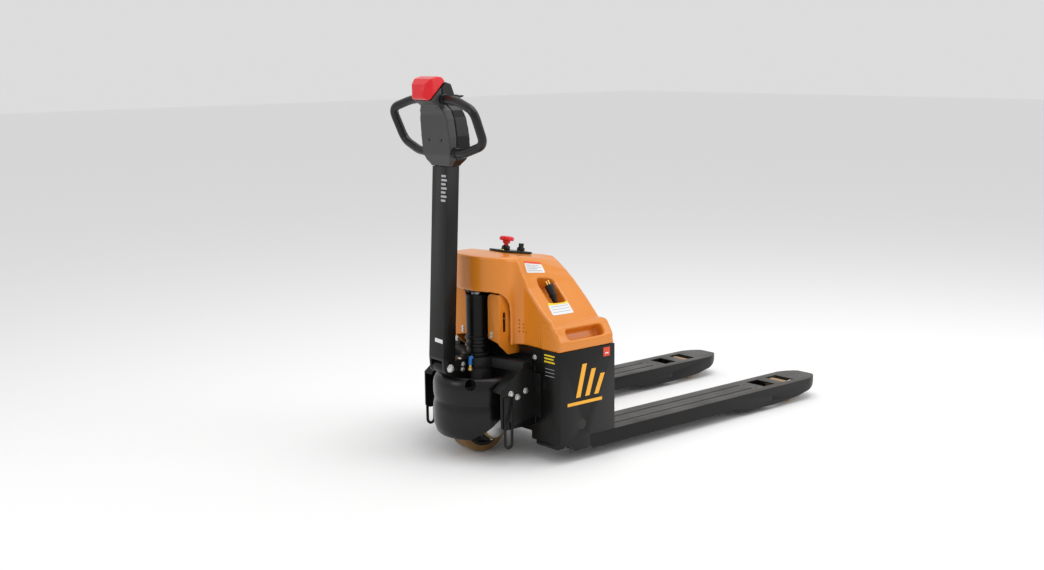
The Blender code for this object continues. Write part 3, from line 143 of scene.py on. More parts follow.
def loft(name, sections):
    """A face of as many corners as the first section has, extruded once for each later section."""
    deselect()
    here = [Vector(point) for point in sections[0]]
    bpy.ops.mesh.primitive_circle_add(vertices=len(here), radius=1, fill_type="NGON")
    obj = bpy.context.object
    obj.name = obj.data.name = name
    for vertex, point in zip(obj.data.vertices, here):
        vertex.co = point
    bpy.ops.object.mode_set(mode="EDIT")
    bpy.ops.mesh.select_all(action="SELECT")
    for section in sections[1:]:
        bpy.ops.mesh.extrude_region_move()
        after = [Vector(point) for point in section]
        work = bmesh.from_edit_mesh(obj.data)
        for vertex in work.verts:
            if vertex.select:
                nearest = min(range(len(here)), key=lambda i: (here[i] - vertex.co).length_squared)
                vertex.co = after[nearest]
        bmesh.update_edit_mesh(obj.data)
        here = after
    bpy.ops.mesh.select_all(action="SELECT")
    bpy.ops.mesh.normals_make_consistent(inside=False)
    bpy.ops.object.mode_set(mode="OBJECT")
    return obj


def modify(obj, kind, **settings):
    take(obj)
    modifier = obj.modifiers.new(kind.lower(), kind)
    for key, value in settings.items():
        setattr(modifier, key, value)
    bpy.ops.object.modifier_apply(modifier=modifier.name)


def carve(obj, *tools, operation="DIFFERENCE"):
    for tool in tools:
        modify(obj, "BOOLEAN", operation=operation, solver="EXACT", object=tool)
        bpy.data.objects.remove(tool)
    return obj


def join(*tools):
    carve(*tools, operation="UNION")


def round_edges(obj, width, segments=2, angle=30):
    limit = {"limit_method": "ANGLE", "angle_limit": radians(angle)}
    modify(obj, "BEVEL", width=width, segments=segments, **limit)


def mould(obj, cell, rounds=8, keep=0.5):
    """Melts a block's edges into the soft roundings of a moulding."""
    modify(obj, "REMESH", mode="VOXEL", voxel_size=cell, adaptivity=0)
    modify(obj, "SMOOTH", factor=0.5, iterations=rounds)
    modify(obj, "DECIMATE", ratio=keep)


def hand_over(obj, body, finish, *stands_for, angle=35):
    """Gives a finished piece its shading, its material and the body it rides on."""
    if angle:
        take(obj)
        bpy.ops.object.shade_smooth_by_angle(angle=radians(angle))
    obj.data.materials.clear()
    obj.data.materials.append(bpy.data.materials[finish])
    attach(obj, body)
    if stands_for:
        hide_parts(*stands_for)


def ring(centre, radius, sides, across, up):
    """Corners of a circle about centre, in the plane of two unit vectors."""
    turns = [2 * pi * i / sides for i in range(sides)]
    return [centre + radius * (across * cos(t) + up * sin(t)) for t in turns]


AXES = {
    "X": (Vector((0, 1, 0)), Vector((0, 0, 1)), Vector((1, 0, 0))),
    "Y": (Vector((1, 0, 0)), Vector((0, 0, 1)), Vector((0, 1, 0))),
    "Z": (Vector((1, 0, 0)), Vector((0, 1, 0)), Vector((0, 0, 1))),
}


def basis(direction):
    along = Vector(direction).normalized()
    across = along.orthogonal().normalized()
    return across, along.cross(across), along


def turned(name, centre, direction, profile, sides):
    """A profile of (radius, height) pairs turned about a line through centre."""
    across, up, along = basis(direction)
    return loft(name, [ring(Vector(centre) + along * h, r, sides, across, up) for r, h in profile])


def bar(name, outline, low, high, axis):
    """An outline in the two other axes, carried along one axis from low to high."""
    first, second, along = AXES[axis]
    return loft(name, [[first * a + second * b + along * h for a, b in outline] for h in (low, high)])


def box(name, low, high):
    (x0, y0, z0), (x1, y1, z1) = low, high
    return bar(name, [(x0, y0), (x1, y0), (x1, y1), (x0, y1)], z0, z1, "Z")


def arc(centre, radius, start, end, steps):
    turns = [radians(start + (end - start) * i / steps) for i in range(steps + 1)]
    return [(centre[0] + radius * cos(t), centre[1] + radius * sin(t)) for t in turns]


def rounded_panel(width, height, radius):
    """Corners of a rounded rectangle about its own middle."""
    a, b = width / 2 - radius, height / 2 - radius
    points = []
    for x, y, start in ((a, b, 0), (-a, b, 90), (-a, -b, 180), (a, -b, 270)):
        points += arc((x, y), radius, start, start + 90, 5)
    return points


def panel_on(name, middle, across, up, size, radius, depths):
    """A rounded rectangle lofted along its own normal, at (distance, growth) pairs."""
    across, up = Vector(across).normalized(), Vector(up)
    up = (up - across * across.dot(up)).normalized()
    out = across.cross(up)
    sections = []
    for distance, growth in depths:
        outline = rounded_panel(size[0] + 2 * growth, size[1] + 2 * growth, radius + growth)
        sections.append([Vector(middle) + across * a + up * b + out * distance for a, b in outline])
    return loft(name, sections)


def tube(name, route, radii, sides):
    """A round bar along a route, with one radius for each of its points."""
    sections, side = [], (route[1] - route[0]).orthogonal()
    for i, (point, radius) in enumerate(zip(route, radii)):
        along = (route[min(i + 1, len(route) - 1)] - route[max(i - 1, 0)]).normalized()
        side = (side - along * side.dot(along)).normalized()
        sections.append(ring(point, radius, sides, side, along.cross(side)))
    return loft(name, sections)


def rounded_route(corners, radius, steps):
    """Points along straight runs between corners, with each corner rounded off."""
    points = [Vector(corner) for corner in corners]
    route = [points[0]]
    for before, corner, after in zip(points, points[1:], points[2:]):
        start = corner + (before - corner).normalized() * radius
        end = corner + (after - corner).normalized() * radius
        for i in range(steps + 1):
            t = i / steps
            route.append(start * (1 - t) ** 2 + corner * 2 * t * (1 - t) + end * t**2)
    return route + [points[-1]]


def steps_between(low, high, step):
    return [low + step * i for i in range(int((high - low) / step) + 1)]


def merged_copy(node, name):
    """A welded copy of a node's mesh, as a new piece of its own."""
    obj = bpy.data.objects.new(name, NODES[node].data.copy())
    obj.data.name = name
    bpy.context.scene.collection.objects.link(obj)
    take(obj)
    bpy.ops.mesh.customdata_custom_splitnormals_clear()
    bpy.ops.object.mode_set(mode="EDIT")
    bpy.ops.mesh.select_all(action="SELECT")
    bpy.ops.mesh.remove_doubles(threshold=0.00002)
    bpy.ops.mesh.dissolve_limited(angle_limit=radians(0.8))
    bpy.ops.object.mode_set(mode="OBJECT")
    return obj


# Finishes


def new_group(name, inputs, outputs):
    group = bpy.data.node_groups.new(name, "ShaderNodeTree")
    for label, kind, value in inputs:
        socket = group.interface.new_socket(name=label, in_out="INPUT", socket_type=kind)
        if value is not None:
            socket.default_value = value
    for label, kind in outputs:
        group.interface.new_socket(name=label, in_out="OUTPUT", socket_type=kind)
    return group, group.nodes.new("NodeGroupInput"), group.nodes.new("NodeGroupOutput")


def add(tree, kind, *constants, **settings):
    """A shader node with its settings, and with constants as (socket, value) pairs."""
    node = tree.nodes.new("ShaderNode" + kind)
    for key, value in settings.items():
        setattr(node, key, value)
    for socket, value in constants:
        node.inputs[socket].default_value = value
    return node


def wire(tree, *links):
    """Links, each as the node and the output that it leaves, then the node and the input that it enters."""
    for source, output, target, entry in links:
        tree.links.new(source.outputs[output], target.inputs[entry])


def grain_group():
    """Fine moulded or sprayed texture: a height for the bump and a slow change of shade."""
    group, source, result = new_group(
        "Surface Grain",
        [("Vector", "NodeSocketVector", None), ("Scale", "NodeSocketFloat", 400.0)],
        [("Height", "NodeSocketFloat"), ("Shade", "NodeSocketFloat")],
    )
    fine = add(group, "TexNoise", ("Detail", 3))
    slow = add(group, "TexNoise", ("Scale", 7), ("Detail", 4))
    cells = add(group, "TexVoronoi")
    mix = add(group, "Math", (1, 0.5), operation="MULTIPLY_ADD")
    wire(
        group,
        (source, "Vector", fine, "Vector"),
        (source, "Vector", slow, "Vector"),
        (source, "Vector", cells, "Vector"),
        (source, "Scale", fine, "Scale"),
        (source, "Scale", cells, "Scale"),
        (cells, "Distance", mix, 0),
        (fine, "Fac", mix, 2),
        (mix, 0, result, "Height"),
        (slow, "Fac", result, "Shade"),
    )


def scuff_group():
    """Short handling scratches and rubbed spots, as a mask."""
    group, source, result = new_group(
        "Handling Scuffs",
        [
            ("Vector", "NodeSocketVector", None),
            ("Scale", "NodeSocketFloat", 20.0),
            ("Amount", "NodeSocketFloat", 0.3),
        ],
        [("Mask", "NodeSocketFloat")],
    )
    stretch = add(group, "Mapping", ("Scale", (1.0, 1.6, 0.35)), ("Rotation", (0.4, 0.7, 0.2)))
    lines = add(group, "TexNoise", ("Detail", 8), ("Roughness", 0.7))
    spots = add(group, "TexNoise", ("Scale", 5))
    narrow = add(group, "MapRange", ("From Min", 0.60), ("From Max", 0.74))
    wide = add(group, "MapRange", ("From Min", 0.40), ("From Max", 0.70))
    both = add(group, "Math", operation="MULTIPLY")
    share = add(group, "Math", operation="MULTIPLY")
    wire(
        group,
        (source, "Vector", stretch, "Vector"),
        (stretch, "Vector", lines, "Vector"),
        (source, "Scale", lines, "Scale"),
        (source, "Vector", spots, "Vector"),
        (lines, "Fac", narrow, "Value"),
        (spots, "Fac", wide, "Value"),
        (narrow, "Result", both, 0),
        (wide, "Result", both, 1),
        (both, 0, share, 0),
        (source, "Amount", share, 1),
        (share, 0, result, "Mask"),
    )


def dust_sheen_group():
    """Dust that settles on what faces up, together with a painted sheen that lightens upward faces, as a
    mask.
    """
    group, source, result = new_group(
        "Settled Dust",
        [("Vector", "NodeSocketVector", None), ("Amount", "NodeSocketFloat", 0.1)],
        [("Mask", "NodeSocketFloat")],
    )
    facing, split = add(group, "NewGeometry"), add(group, "SeparateXYZ")
    cloud = add(group, "TexNoise", ("Scale", 9), ("Detail", 6))
    upward = add(group, "MapRange", ("From Min", 0.3))
    both = add(group, "Math", operation="MULTIPLY")
    share = add(group, "Math", operation="MULTIPLY")
    wire(
        group,
        (facing, "Normal", split, 0),
        (split, "Z", upward, "Value"),
        (source, "Vector", cloud, "Vector"),
        (upward, "Result", both, 0),
        (cloud, "Fac", both, 1),
        (both, 0, share, 0),
        (source, "Amount", share, 1),
        (share, 0, result, "Mask"),
    )


def finish(
    name,
    base,
    roughness,
    grain,
    depth,
    scuff,
    dust,
    shade,
    metallic=0.0,
    scuff_scale=20,
    coat=0.0,
    stretch=(1, 1, 1),
    specular=0.5,
):
    """A material whose colour, roughness and bump come from the three shared effects."""
    material = bpy.data.materials.get(name) or bpy.data.materials.new(name)
    material.use_nodes = True
    tree = material.node_tree
    tree.nodes.clear()
    place = add(tree, "TexCoord")
    mapping = add(tree, "Mapping", ("Scale", stretch))
    effects = []
    for label, constants in (
        ("Surface Grain", [("Scale", grain)]),
        ("Handling Scuffs", [("Scale", scuff_scale), ("Amount", scuff)]),
        ("Settled Dust", [("Amount", dust)]),
    ):
        effects.append(add(tree, "Group", *constants, node_tree=bpy.data.node_groups[label]))
    grained, scuffed, dust_sheen = effects

    tone = add(tree, "ValToRGB")
    dark, light = tone.color_ramp.elements
    dark.color, dark.position = (*[c * (1 - shade) for c in base], 1), 0.3
    light.color, light.position = (*[min(c * (1 + shade), 1) for c in base], 1), 0.7
    worn = (*[min(c * 1.5 + 0.03, 1) for c in base], 1)
    rubbed = add(tree, "Mix", ("B", worn), data_type="RGBA")
    # Upward faces mix towards a pale grey: partly settled dust, partly painted sheen.
    dust_sheen_mix = add(tree, "Mix", ("B", (0.42, 0.40, 0.37, 1)), data_type="RGBA")
    rough = add(tree, "Math", (1, 0.30), (2, roughness), operation="MULTIPLY_ADD")
    uneven = add(tree, "Math", (1, 0.12), operation="MULTIPLY_ADD")
    bump = add(tree, "Bump", ("Strength", depth), ("Distance", 0.0004))
    shader = add(
        tree,
        "BsdfPrincipled",
        ("Metallic", metallic),
        ("Specular IOR Level", specular),
        ("Coat Weight", coat),
        ("Coat Roughness", 0.12),
    )
    out = add(tree, "OutputMaterial")
    wire(
        tree,
        (place, "Object", mapping, "Vector"),
        *[(mapping, "Vector", effect, "Vector") for effect in effects],
        (grained, "Shade", tone, "Fac"),
        (scuffed, "Mask", rubbed, "Factor"),
        (tone, "Color", rubbed, "A"),
        (dust_sheen, "Mask", dust_sheen_mix, "Factor"),
        (rubbed, "Result", dust_sheen_mix, "A"),
        (scuffed, "Mask", rough, 0),
        (grained, "Shade", uneven, 0),
        (rough, 0, uneven, 2),
        (grained, "Height", bump, "Height"),
        (dust_sheen_mix, "Result", shader, "Base Color"),
        (uneven, 0, shader, "Roughness"),
        (bump, "Normal", shader, "Normal"),
        (shader, "BSDF", out, "Surface"),
    )
    return material


FINISH_OF_SLOT = {
    "black_paint": "satin black paint",
    "orange_paint": "orange paint",
    "orange_plastic": "orange moulding",
    "black_plastic": "black moulding",
    "grey_plastic": "grey moulding",
    "red_plastic": "red moulding",
    "black_rubber": "rubber",
    "steel": "bright steel",
    "cast_iron": "cast iron",
    "aluminium": "aluminium",
    "brass": "brass",
    "polyurethane": "drive tread",
    "tan_polyurethane": "roller tread",
    "blue_hose": "blue sleeve",
    "battery_case": "battery case",
}

# Each name has its colour, or the panel's name for it, then its roughness, the grain's fineness and height,
# the scuffs, the dust with painted sheen on upward faces, the change of shade, and what else the finish is
# given.
FINISHES = {
    "satin black paint": ("black", 0.26, 500, 0.10, 0.22, 0.02, 0.20, {"specular": 0.25}),
    # The forks' high dust amount lightens their tops: partly settled dust, partly a painted sheen where the
    # light falls on them.
    "fork paint": ("black", 0.36, 350, 0.22, 0.50, 0.26, 0.30, {"specular": 0.25, "scuff_scale": 34}),
    "orange paint": ("orange", 0.34, 450, 0.08, 0.12, 0.02, 0.04, {}),
    "orange moulding": ("orange", 0.24, 700, 0.05, 0.06, 0.0, 0.03, {"coat": 0.2}),
    "black moulding": ("plastic", 0.18, 800, 0.06, 0.20, 0.015, 0.15, {"specular": 0.3}),
    "grey moulding": ("grey", 0.36, 1100, 0.30, 0.15, 0.02, 0.06, {"specular": 0.35}),
    "red moulding": ("red", 0.16, 900, 0.03, 0.05, 0.0, 0.03, {"coat": 0.2, "specular": 0.3}),
    "rubber": ("rubber", 0.24, 900, 0.20, 0.15, 0.02, 0.15, {"specular": 0.35}),
    "bright steel": (
        *((0.60, 0.60, 0.61), 0.24, 300, 0.08, 0.30, 0.06, 0.12),
        {"metallic": 1.0, "stretch": (1, 1, 8)},
    ),
    "zinc plate": ((0.62, 0.62, 0.60), 0.30, 600, 0.10, 0.30, 0.06, 0.15, {"metallic": 1.0}),
    "cast iron": ((0.010, 0.010, 0.011), 0.40, 260, 0.55, 0.30, 0.05, 0.30, {"specular": 0.3}),
    "dark steel": ((0.035, 0.034, 0.033), 0.35, 400, 0.15, 0.40, 0.06, 0.12, {"metallic": 0.7}),
    "aluminium": ((0.60, 0.60, 0.58), 0.32, 400, 0.15, 0.30, 0.06, 0.12, {"metallic": 1.0}),
    "brass": ((0.70, 0.47, 0.16), 0.26, 500, 0.08, 0.20, 0.06, 0.12, {"metallic": 1.0}),
    "gold ring": ((0.35, 0.22, 0.05), 0.35, 400, 0.20, 0.30, 0.06, 0.12, {"metallic": 0.6}),
    "drive tread": ("tread", 0.40, 300, 0.35, 0.80, 0.06, 0.35, {"scuff_scale": 30}),
    "roller tread": ("roller", 0.42, 300, 0.25, 0.50, 0.06, 0.20, {}),
    "blue sleeve": ((0.01, 0.16, 0.52), 0.38, 900, 0.20, 0.20, 0.06, 0.12, {}),
    "battery case": ((0.05, 0.05, 0.055), 0.50, 500, 0.30, 0.20, 0.06, 0.12, {}),
    "white label": ((0.74, 0.75, 0.77), 0.40, 900, 0.03, 0.06, 0.0, 0.02, {}),
    "grey print": ((0.42, 0.43, 0.45), 0.45, 900, 0.02, 0.0, 0.0, 0.03, {}),
    "red print": ((0.72, 0.06, 0.015), 0.40, 900, 0.02, 0.0, 0.0, 0.03, {}),
    "yellow print": ((0.86, 0.62, 0.01), 0.40, 900, 0.02, 0.0, 0.0, 0.03, {}),
    "orange mark": ("mark", 0.38, 900, 0.03, 0.05, 0.0, 0.03, {}),
    "shadow gap": ((0.004, 0.004, 0.004), 0.60, 500, 0.05, 0.20, 0.0, 0.12, {}),
}


class TRUCK_OT_finishes(bpy.types.Operator):
    """Makes every finish and gives the truck's own nodes theirs"""

    bl_idname = "truck.finishes"
    bl_label = "Finishes"

    def execute(self, context):
        colours = context.scene.truck_colours
        for made in (grain_group, scuff_group, dust_sheen_group):
            made()
        for name, (base, *amounts, others) in FINISHES.items():
            finish(name, getattr(colours, base) if isinstance(base, str) else base, *amounts, **others)
        for node, obj in NODES.items():
            dark = node.startswith(("carrier_pin", "rocker_shaft", "push_rod"))
            name = "dark steel" if dark else FINISH_OF_SLOT[SLOT_OF[node]]
            obj.data.materials.clear()
            obj.data.materials.append(bpy.data.materials[name])
        return {"FINISHED"}


# Pieces that keep their solid shape and only get rounded edges: node, share of the edge rounding
ROUNDED = {
    "chassis_box": 1.6,
    "side_bracket_left": 1.2,
    "side_bracket_right": 1.2,
    "guard_loop_left": 1.5,
    "guard_loop_right": 1.5,
    "mast_post_left": 1.0,
    "mast_post_right": 1.0,
    "crosshead": 2.0,
    "yoke": 2.2,
    "drive_frame": 2.0,
    "tiller_bracket": 2.5,
    "cylinder_barrel": 0.8,
    "cylinder_gland": 1.0,
    "tiller_arm": 4.0,
    "rocker_arm_left": 1.2,
    "rocker_arm_right": 1.2,
    "load_carrier_left": 1.0,
    "load_carrier_right": 1.0,
    "control_panel": 1.6,
    "drive_motor_housing": 1.2,
    "drive_motor_cap": 1.2,
    "e_stop_base": 0.8,
    "pump_motor": 2.0,
    "motor_controller": 1.0,
    "battery_left": 3.0,
    "battery_right": 3.0,
}


class TRUCK_OT_metalwork(bpy.types.Operator):
    """Rounds the edges of the welded, bent and cast pieces"""

    bl_idname = "truck.metalwork"
    bl_label = "Metalwork"

    def execute(self, context):
        edge = context.scene.truck_sizes.edge
        for node, share in ROUNDED.items():
            piece = merged_copy(node, node + "_rounded")
            round_edges(piece, edge * share, angle=34)
            hand_over(piece, BODY_OF[node], FINISH_OF_SLOT[SLOT_OF[node]], node)
        return {"FINISHED"}


# Hood

HOOD_REAR = [(0.3415, 0.385), (0.3385, 0.392), (0.312, 0.422), (0.262, 0.471), (0.200, 0.531)]
HOOD_REAR += [(0.142, 0.581), (0.106, 0.607), (0.070, 0.630), (0.048, 0.643), (0.030, 0.652)]
HOOD_FRONT = [(0.3415, 0.385), (0.3405, 0.412), (0.330, 0.446), (0.297, 0.482), (0.241, 0.522)]
HOOD_FRONT += [(0.177, 0.583), (0.152, 0.632), (0.141, 0.672), (0.128, 0.687), (0.030, 0.690)]
NOSE_START, NOSE_TIP, NOSE_HALF = 0.288, 0.372, 0.137
VENT_RADIUS = 0.0025
VENTS = [(-0.146, 0.471), (-0.146, 0.458), (-0.158, 0.457), (-0.146, 0.445)]  # (y, z) on the front face
VENTS += [(-0.158, 0.4445), (-0.146, 0.432), (-0.158, 0.4315), (-0.171, 0.4305)]


def at(x, y, z):
    """A place given by its distance behind the battery box's rear face, in world coordinates."""
    return Vector((REAR + x, y, z))


def hood_section(x, share, inset, bottom):
    """The hood's outline across the truck, a share of the way from its rear shape to its front shape."""
    half = []
    for (ya, za), (yb, zb) in zip(HOOD_REAR, HOOD_FRONT):
        half.append([ya + (yb - ya) * share, za + (zb - za) * share])
    if inset:
        moved = []
        for i, (y, z) in enumerate(half):
            before = half[max(i - 1, 0)]
            after = half[min(i + 1, len(half) - 1)]
            edge = Vector((after[0] - before[0], after[1] - before[1])).normalized()
            moved.append([y - edge.y * inset, z + edge.x * inset])
        half = moved
    half[0][1] = bottom
    right = [at(x, -y, z) for y, z in half]
    return right + [at(x, y, z) for y, z in reversed(half)]


def hood_block(name, inset, bottom):
    """The solid hood with its nose, drawn in by inset."""
    stations = ((-inset, 0.0), (-0.125, 0.5), (FRONT - REAR, 1.0), (-NOSE_TIP - 0.02, 1.0))
    block = loft(name, [hood_section(x, share, inset, bottom) for x, share in stations])
    half, nose, front = HALF + 0.02, NOSE_HALF - inset, FRONT - REAR + inset
    reach = NOSE_TIP - inset - NOSE_START
    fillet = 0.030
    corner = arc((front - fillet, nose + fillet), fillet, 0, -90, 6)
    curve = [(-NOSE_START - reach * sin(t), nose * cos(t)) for t in (pi / 2 * i / 16 for i in range(17))]
    side = [(0.02, half), (front, half), *corner, *curve[:-1]]
    plan = side + [(x, -y) for x, y in reversed(side)]
    plan.insert(len(side), (-NOSE_START - reach, 0.0))
    tool = bar(name + "_plan", [(REAR + x, y) for x, y in plan], 0.2, 0.9, "Z")
    return carve(block, tool, operation="INTERSECT")


class TRUCK_OT_hood(bpy.types.Operator):
    """Moulds the hood with its nose, plug pocket, lifting grips and vents"""

    bl_idname = "truck.hood"
    bl_label = "Hood"

    def execute(self, context):
        sizes = context.scene.truck_sizes
        seam = BOX_TOP + 0.001
        hood = hood_block("hood_moulding", 0, seam)
        for word, side in SIDES:
            outline = [(0.250, seam), (0.250, 0.462), (0.286, 0.470), (0.306, 0.468), (0.316, 0.461)]
            outline += [(0.342, 0.420), (0.3425, 0.410), (0.3425, seam)]
            grip = bar("grip_" + word, [(side * y, z) for y, z in outline], FRONT - 0.005, REAR - 0.006, "X")
            join(hood, grip)
        inner = hood_block("hood_room", sizes.hood_wall, seam - 0.05)
        lie = (at(-0.147, -0.184, 0.563), (1, 0, 0), (0.0, 0.775, 0.632))
        carve(inner, panel_on("pocket_wall", *lie, (0.100, 0.128), 0.02, [(-0.060, 0), (0.05, 0)]))
        for word, side in SIDES:
            near, far = sorted((side * 0.255, side * 0.36))
            wall = box("grip_wall_" + word, (REAR - 0.245, near, 0.37), (REAR - 0.012, far, 0.50))
            carve(inner, wall)
        carve(hood, inner)
        depths = [(-0.048, -0.006), (0.0, 0.0), (0.05, 0.002)]
        pocket = panel_on("pocket", *lie, (0.080, 0.108), 0.014, depths)
        nose_arch = [(-0.45, 0.30), (-NOSE_START, 0.30), (-NOSE_START, 0.490)]
        turns = [pi / 16 * i for i in range(1, 9)]
        nose_arch += [(-0.344 + 0.056 * cos(t), 0.500 + 0.068 * sin(t)) for t in turns]
        nose_arch += [(-0.45, 0.568)]
        mouth = bar("nose_mouth", [(REAR + x, z) for x, z in nose_arch], -0.2, 0.2, "Y")
        carve(hood, mouth, pocket)
        for word, side in SIDES:
            middle = at(-0.124, side * 0.3285, 0.4390)
            lie = (middle, (-side, 0, 0), (0.0, side * -0.55, 0.84))
            depths = [(-0.036, -0.002), (0.03, 0.001)]
            carve(hood, panel_on("grip_slot_" + word, *lie, (0.164, 0.041), 0.011, depths))
        mould(hood, sizes.hood_cell, rounds=7, keep=0.55)
        vents = []
        for i, (y, z) in enumerate(VENTS):
            bore = [(VENT_RADIUS, 0), (VENT_RADIUS, 0.06)]
            vents.append(turned(f"vent_{i}", (FRONT - 0.03, y, z), (1, 0, 0), bore, 12))
            # Each vent hole gets a dark disc set into the wall just behind its mouth: painted shadow in the
            # near-black shadow gap finish, standing in for the dark inside of the hole.
            disc = [(VENT_RADIUS + 0.0003, 0), (VENT_RADIUS + 0.0003, 0.0015)]
            shade_disc = turned(f"vent_screen_{i}", (FRONT + 0.002, y, z), (1, 0, 0), disc, 12)
            hand_over(shade_disc, "chassis", "shadow gap")
        carve(hood, *vents)
        hand_over(hood, "chassis", "orange moulding", "hood", angle=50)
        return {"FINISHED"}


def label(name, corners, finish_name, body, lift=0.0004, thick=0.0003, onto=None):
    """A thin sheet on four corners, anticlockwise from outside, that follows a curved piece given as onto."""
    points = [Vector(corner) for corner in corners]
    out = (points[1] - points[0]).cross(points[3] - points[0]).normalized()
    sheet = loft(name, [[point + out * lift for point in points]])
    if onto:
        bpy.ops.object.mode_set(mode="EDIT")
        bpy.ops.mesh.select_all(action="SELECT")
        bpy.ops.mesh.subdivide(number_cuts=9)
        bpy.ops.object.mode_set(mode="OBJECT")
        modify(sheet, "SHRINKWRAP", target=onto, offset=lift, wrap_mode="ABOVE_SURFACE")
        modify(sheet, "SMOOTH", factor=0.5, iterations=6)
    modify(sheet, "SOLIDIFY", thickness=thick, offset=1)
    hand_over(sheet, body, finish_name, angle=0)


def share_of(corners, u, v):
    """A point inside four corners, by its shares along the bottom and up the side."""
    a, b, c, d = [Vector(corner) for corner in corners]
    return (a * (1 - u) + b * u) * (1 - v) + (d * (1 - u) + c * u) * v


def printed_label(name, corners, header, body, rows, ends):
    """A white label with a coloured header and rows of grey dashes in place of its wording."""
    hood = bpy.data.objects["hood_moulding"]
    label(name, corners, "white label", body, onto=hood)
    head = [share_of(corners, u, v) for u, v in ((0, 0.80), (1, 0.80), (1, 1), (0, 1))]
    label(name + "_header", head, header, body, 0.0009, onto=hood)
    for i in range(rows):
        low = 0.68 - i * 0.62 / rows - 0.035
        high, start, end = low + 0.045, 0.08, ends[i % len(ends)]
        places = ((start, low), (end, low), (end, high), (start, high))
        dash = [share_of(corners, *place) for place in places]
        label(f"{name}_row_{i}", dash, "grey print", body, 0.0009, onto=hood)


class TRUCK_OT_hood_labels(bpy.types.Operator):
    """Puts two plain labels on the hood's right slope"""

    bl_idname = "truck.hood_labels"
    bl_label = "Hood labels"

    def execute(self, context):
        upper = [at(-0.226, -0.157, 0.6305), at(-0.122, -0.136, 0.6175)]
        upper += [at(-0.126, -0.107, 0.650), at(-0.232, -0.141, 0.6735)]
        printed_label("upper_label", upper, "red print", "chassis", 4, (0.80, 0.90, 0.62, 0.86))
        lower = [at(-0.219, -0.272, 0.4975), at(-0.107, -0.261, 0.4925)]
        lower += [at(-0.100, -0.216, 0.5285), at(-0.207, -0.228, 0.5335)]
        printed_label("lower_label", lower, "yellow print", "chassis", 3, (0.94, 0.92, 0.94))
        return {"FINISHED"}


# Tiller head

# The head from the side, as (x, z), and half of it from the front, as (y, z), about the arm's upper end
HEAD_SIDE = [(-0.024, 0.001), (0.024, 0.001), (0.040, 0.030), (0.046, 0.070), (0.041, 0.120)]
HEAD_SIDE += [(0.031, 0.175), (0.008, 0.230), (-0.008, 0.270), (-0.030, 0.277), (-0.091, 0.216)]
HEAD_SIDE += [(-0.064, 0.200), (-0.051, 0.170), (-0.043, 0.100), (-0.039, 0.040)]
HEAD_FRONT = [(0.043, -0.012), (0.050, 0.006), (0.066, 0.022), (0.0745, 0.050), (0.076, 0.100)]
HEAD_FRONT += [(0.072, 0.160), (0.061, 0.186), (0.048, 0.200), (0.047, 0.320)]
SCREW_Y, LOW_SCREW_Z, HIGH_SCREW_Z = 0.033, 0.088, 0.196


def at_head(x, y, z):
    return Vector((HEAD_X + x, y, ARM_TOP + z))


def head_block(name):
    """The solid head, before it is split into its two shells."""
    solid = bar(name, [(HEAD_X + x, ARM_TOP + z) for x, z in HEAD_SIDE], -0.1, 0.1, "Y")
    right = [(y, ARM_TOP + z) for y, z in HEAD_FRONT]
    outline = right + [(-y, z) for y, z in reversed(right)]
    return carve(solid, bar(name + "_front", outline, HEAD_X - 0.2, HEAD_X + 0.2, "X"), operation="INTERSECT")


class TRUCK_OT_head(bpy.types.Operator):
    """Moulds the tiller head's two shells with their seam, side bulges, ribs and screws"""

    bl_idname = "truck.head"
    bl_label = "Tiller head"

    def execute(self, context):
        split = [(-0.006, -0.02), (-0.012, 0.110), (-0.020, 0.190), (-0.046, 0.235), (-0.050, 0.300)]
        far = {"lower": -0.2, "upper": 0.2}
        for word, finish_name, node in (
            ("lower", "grey moulding", "head_lower_shell"),
            ("upper", "black moulding", "head_upper_shell"),
        ):
            shell = head_block(f"head_{word}_moulding")
            shift = 0.0 if word == "lower" else 0.0004
            outline = [(HEAD_X + x + shift, ARM_TOP + z) for x, z in split]
            outline += [(HEAD_X + far[word], ARM_TOP + 0.3), (HEAD_X + far[word], ARM_TOP - 0.02)]
            carve(shell, bar("half_" + word, outline, -0.12, 0.12, "Y"), operation="INTERSECT")
            if word == "lower":
                for i, y in enumerate((-SCREW_Y, SCREW_Y)):
                    bore, start = [(0.0045, 0), (0.0045, 0.035)], at_head(-0.06, y, LOW_SCREW_Z)
                    low, high = at_head(-0.07, y - 0.0012, 0.095), at_head(-0.0415, y + 0.0012, 0.150)
                    hole = turned(f"screw_hole_{i}", start, (1, 0, 0), bore, 16)
                    carve(shell, hole, box(f"rib_{i}", low, high))
            mould(shell, 0.0018, rounds=9, keep=0.5)
            hand_over(shell, "tiller", finish_name, node, angle=50)
        profile = [(0.0036, -0.006), (0.0036, 0.0), (0.0028, 0.0012), (0.0010, 0.0012), (0.0008, -0.001)]
        rows = ((-0.0385, SCREW_Y, LOW_SCREW_Z), (-0.0610, SCREW_Y + 0.003, HIGH_SCREW_Z))
        places = [(x, side * y, z) for x, y, z in rows for side in (-1, 1)]
        for i, place in enumerate(places):
            screw = turned(f"head_screw_{i}", at_head(*place), (-1, 0, 0), profile, 16)
            hand_over(screw, "tiller", "black moulding")
        return {"FINISHED"}


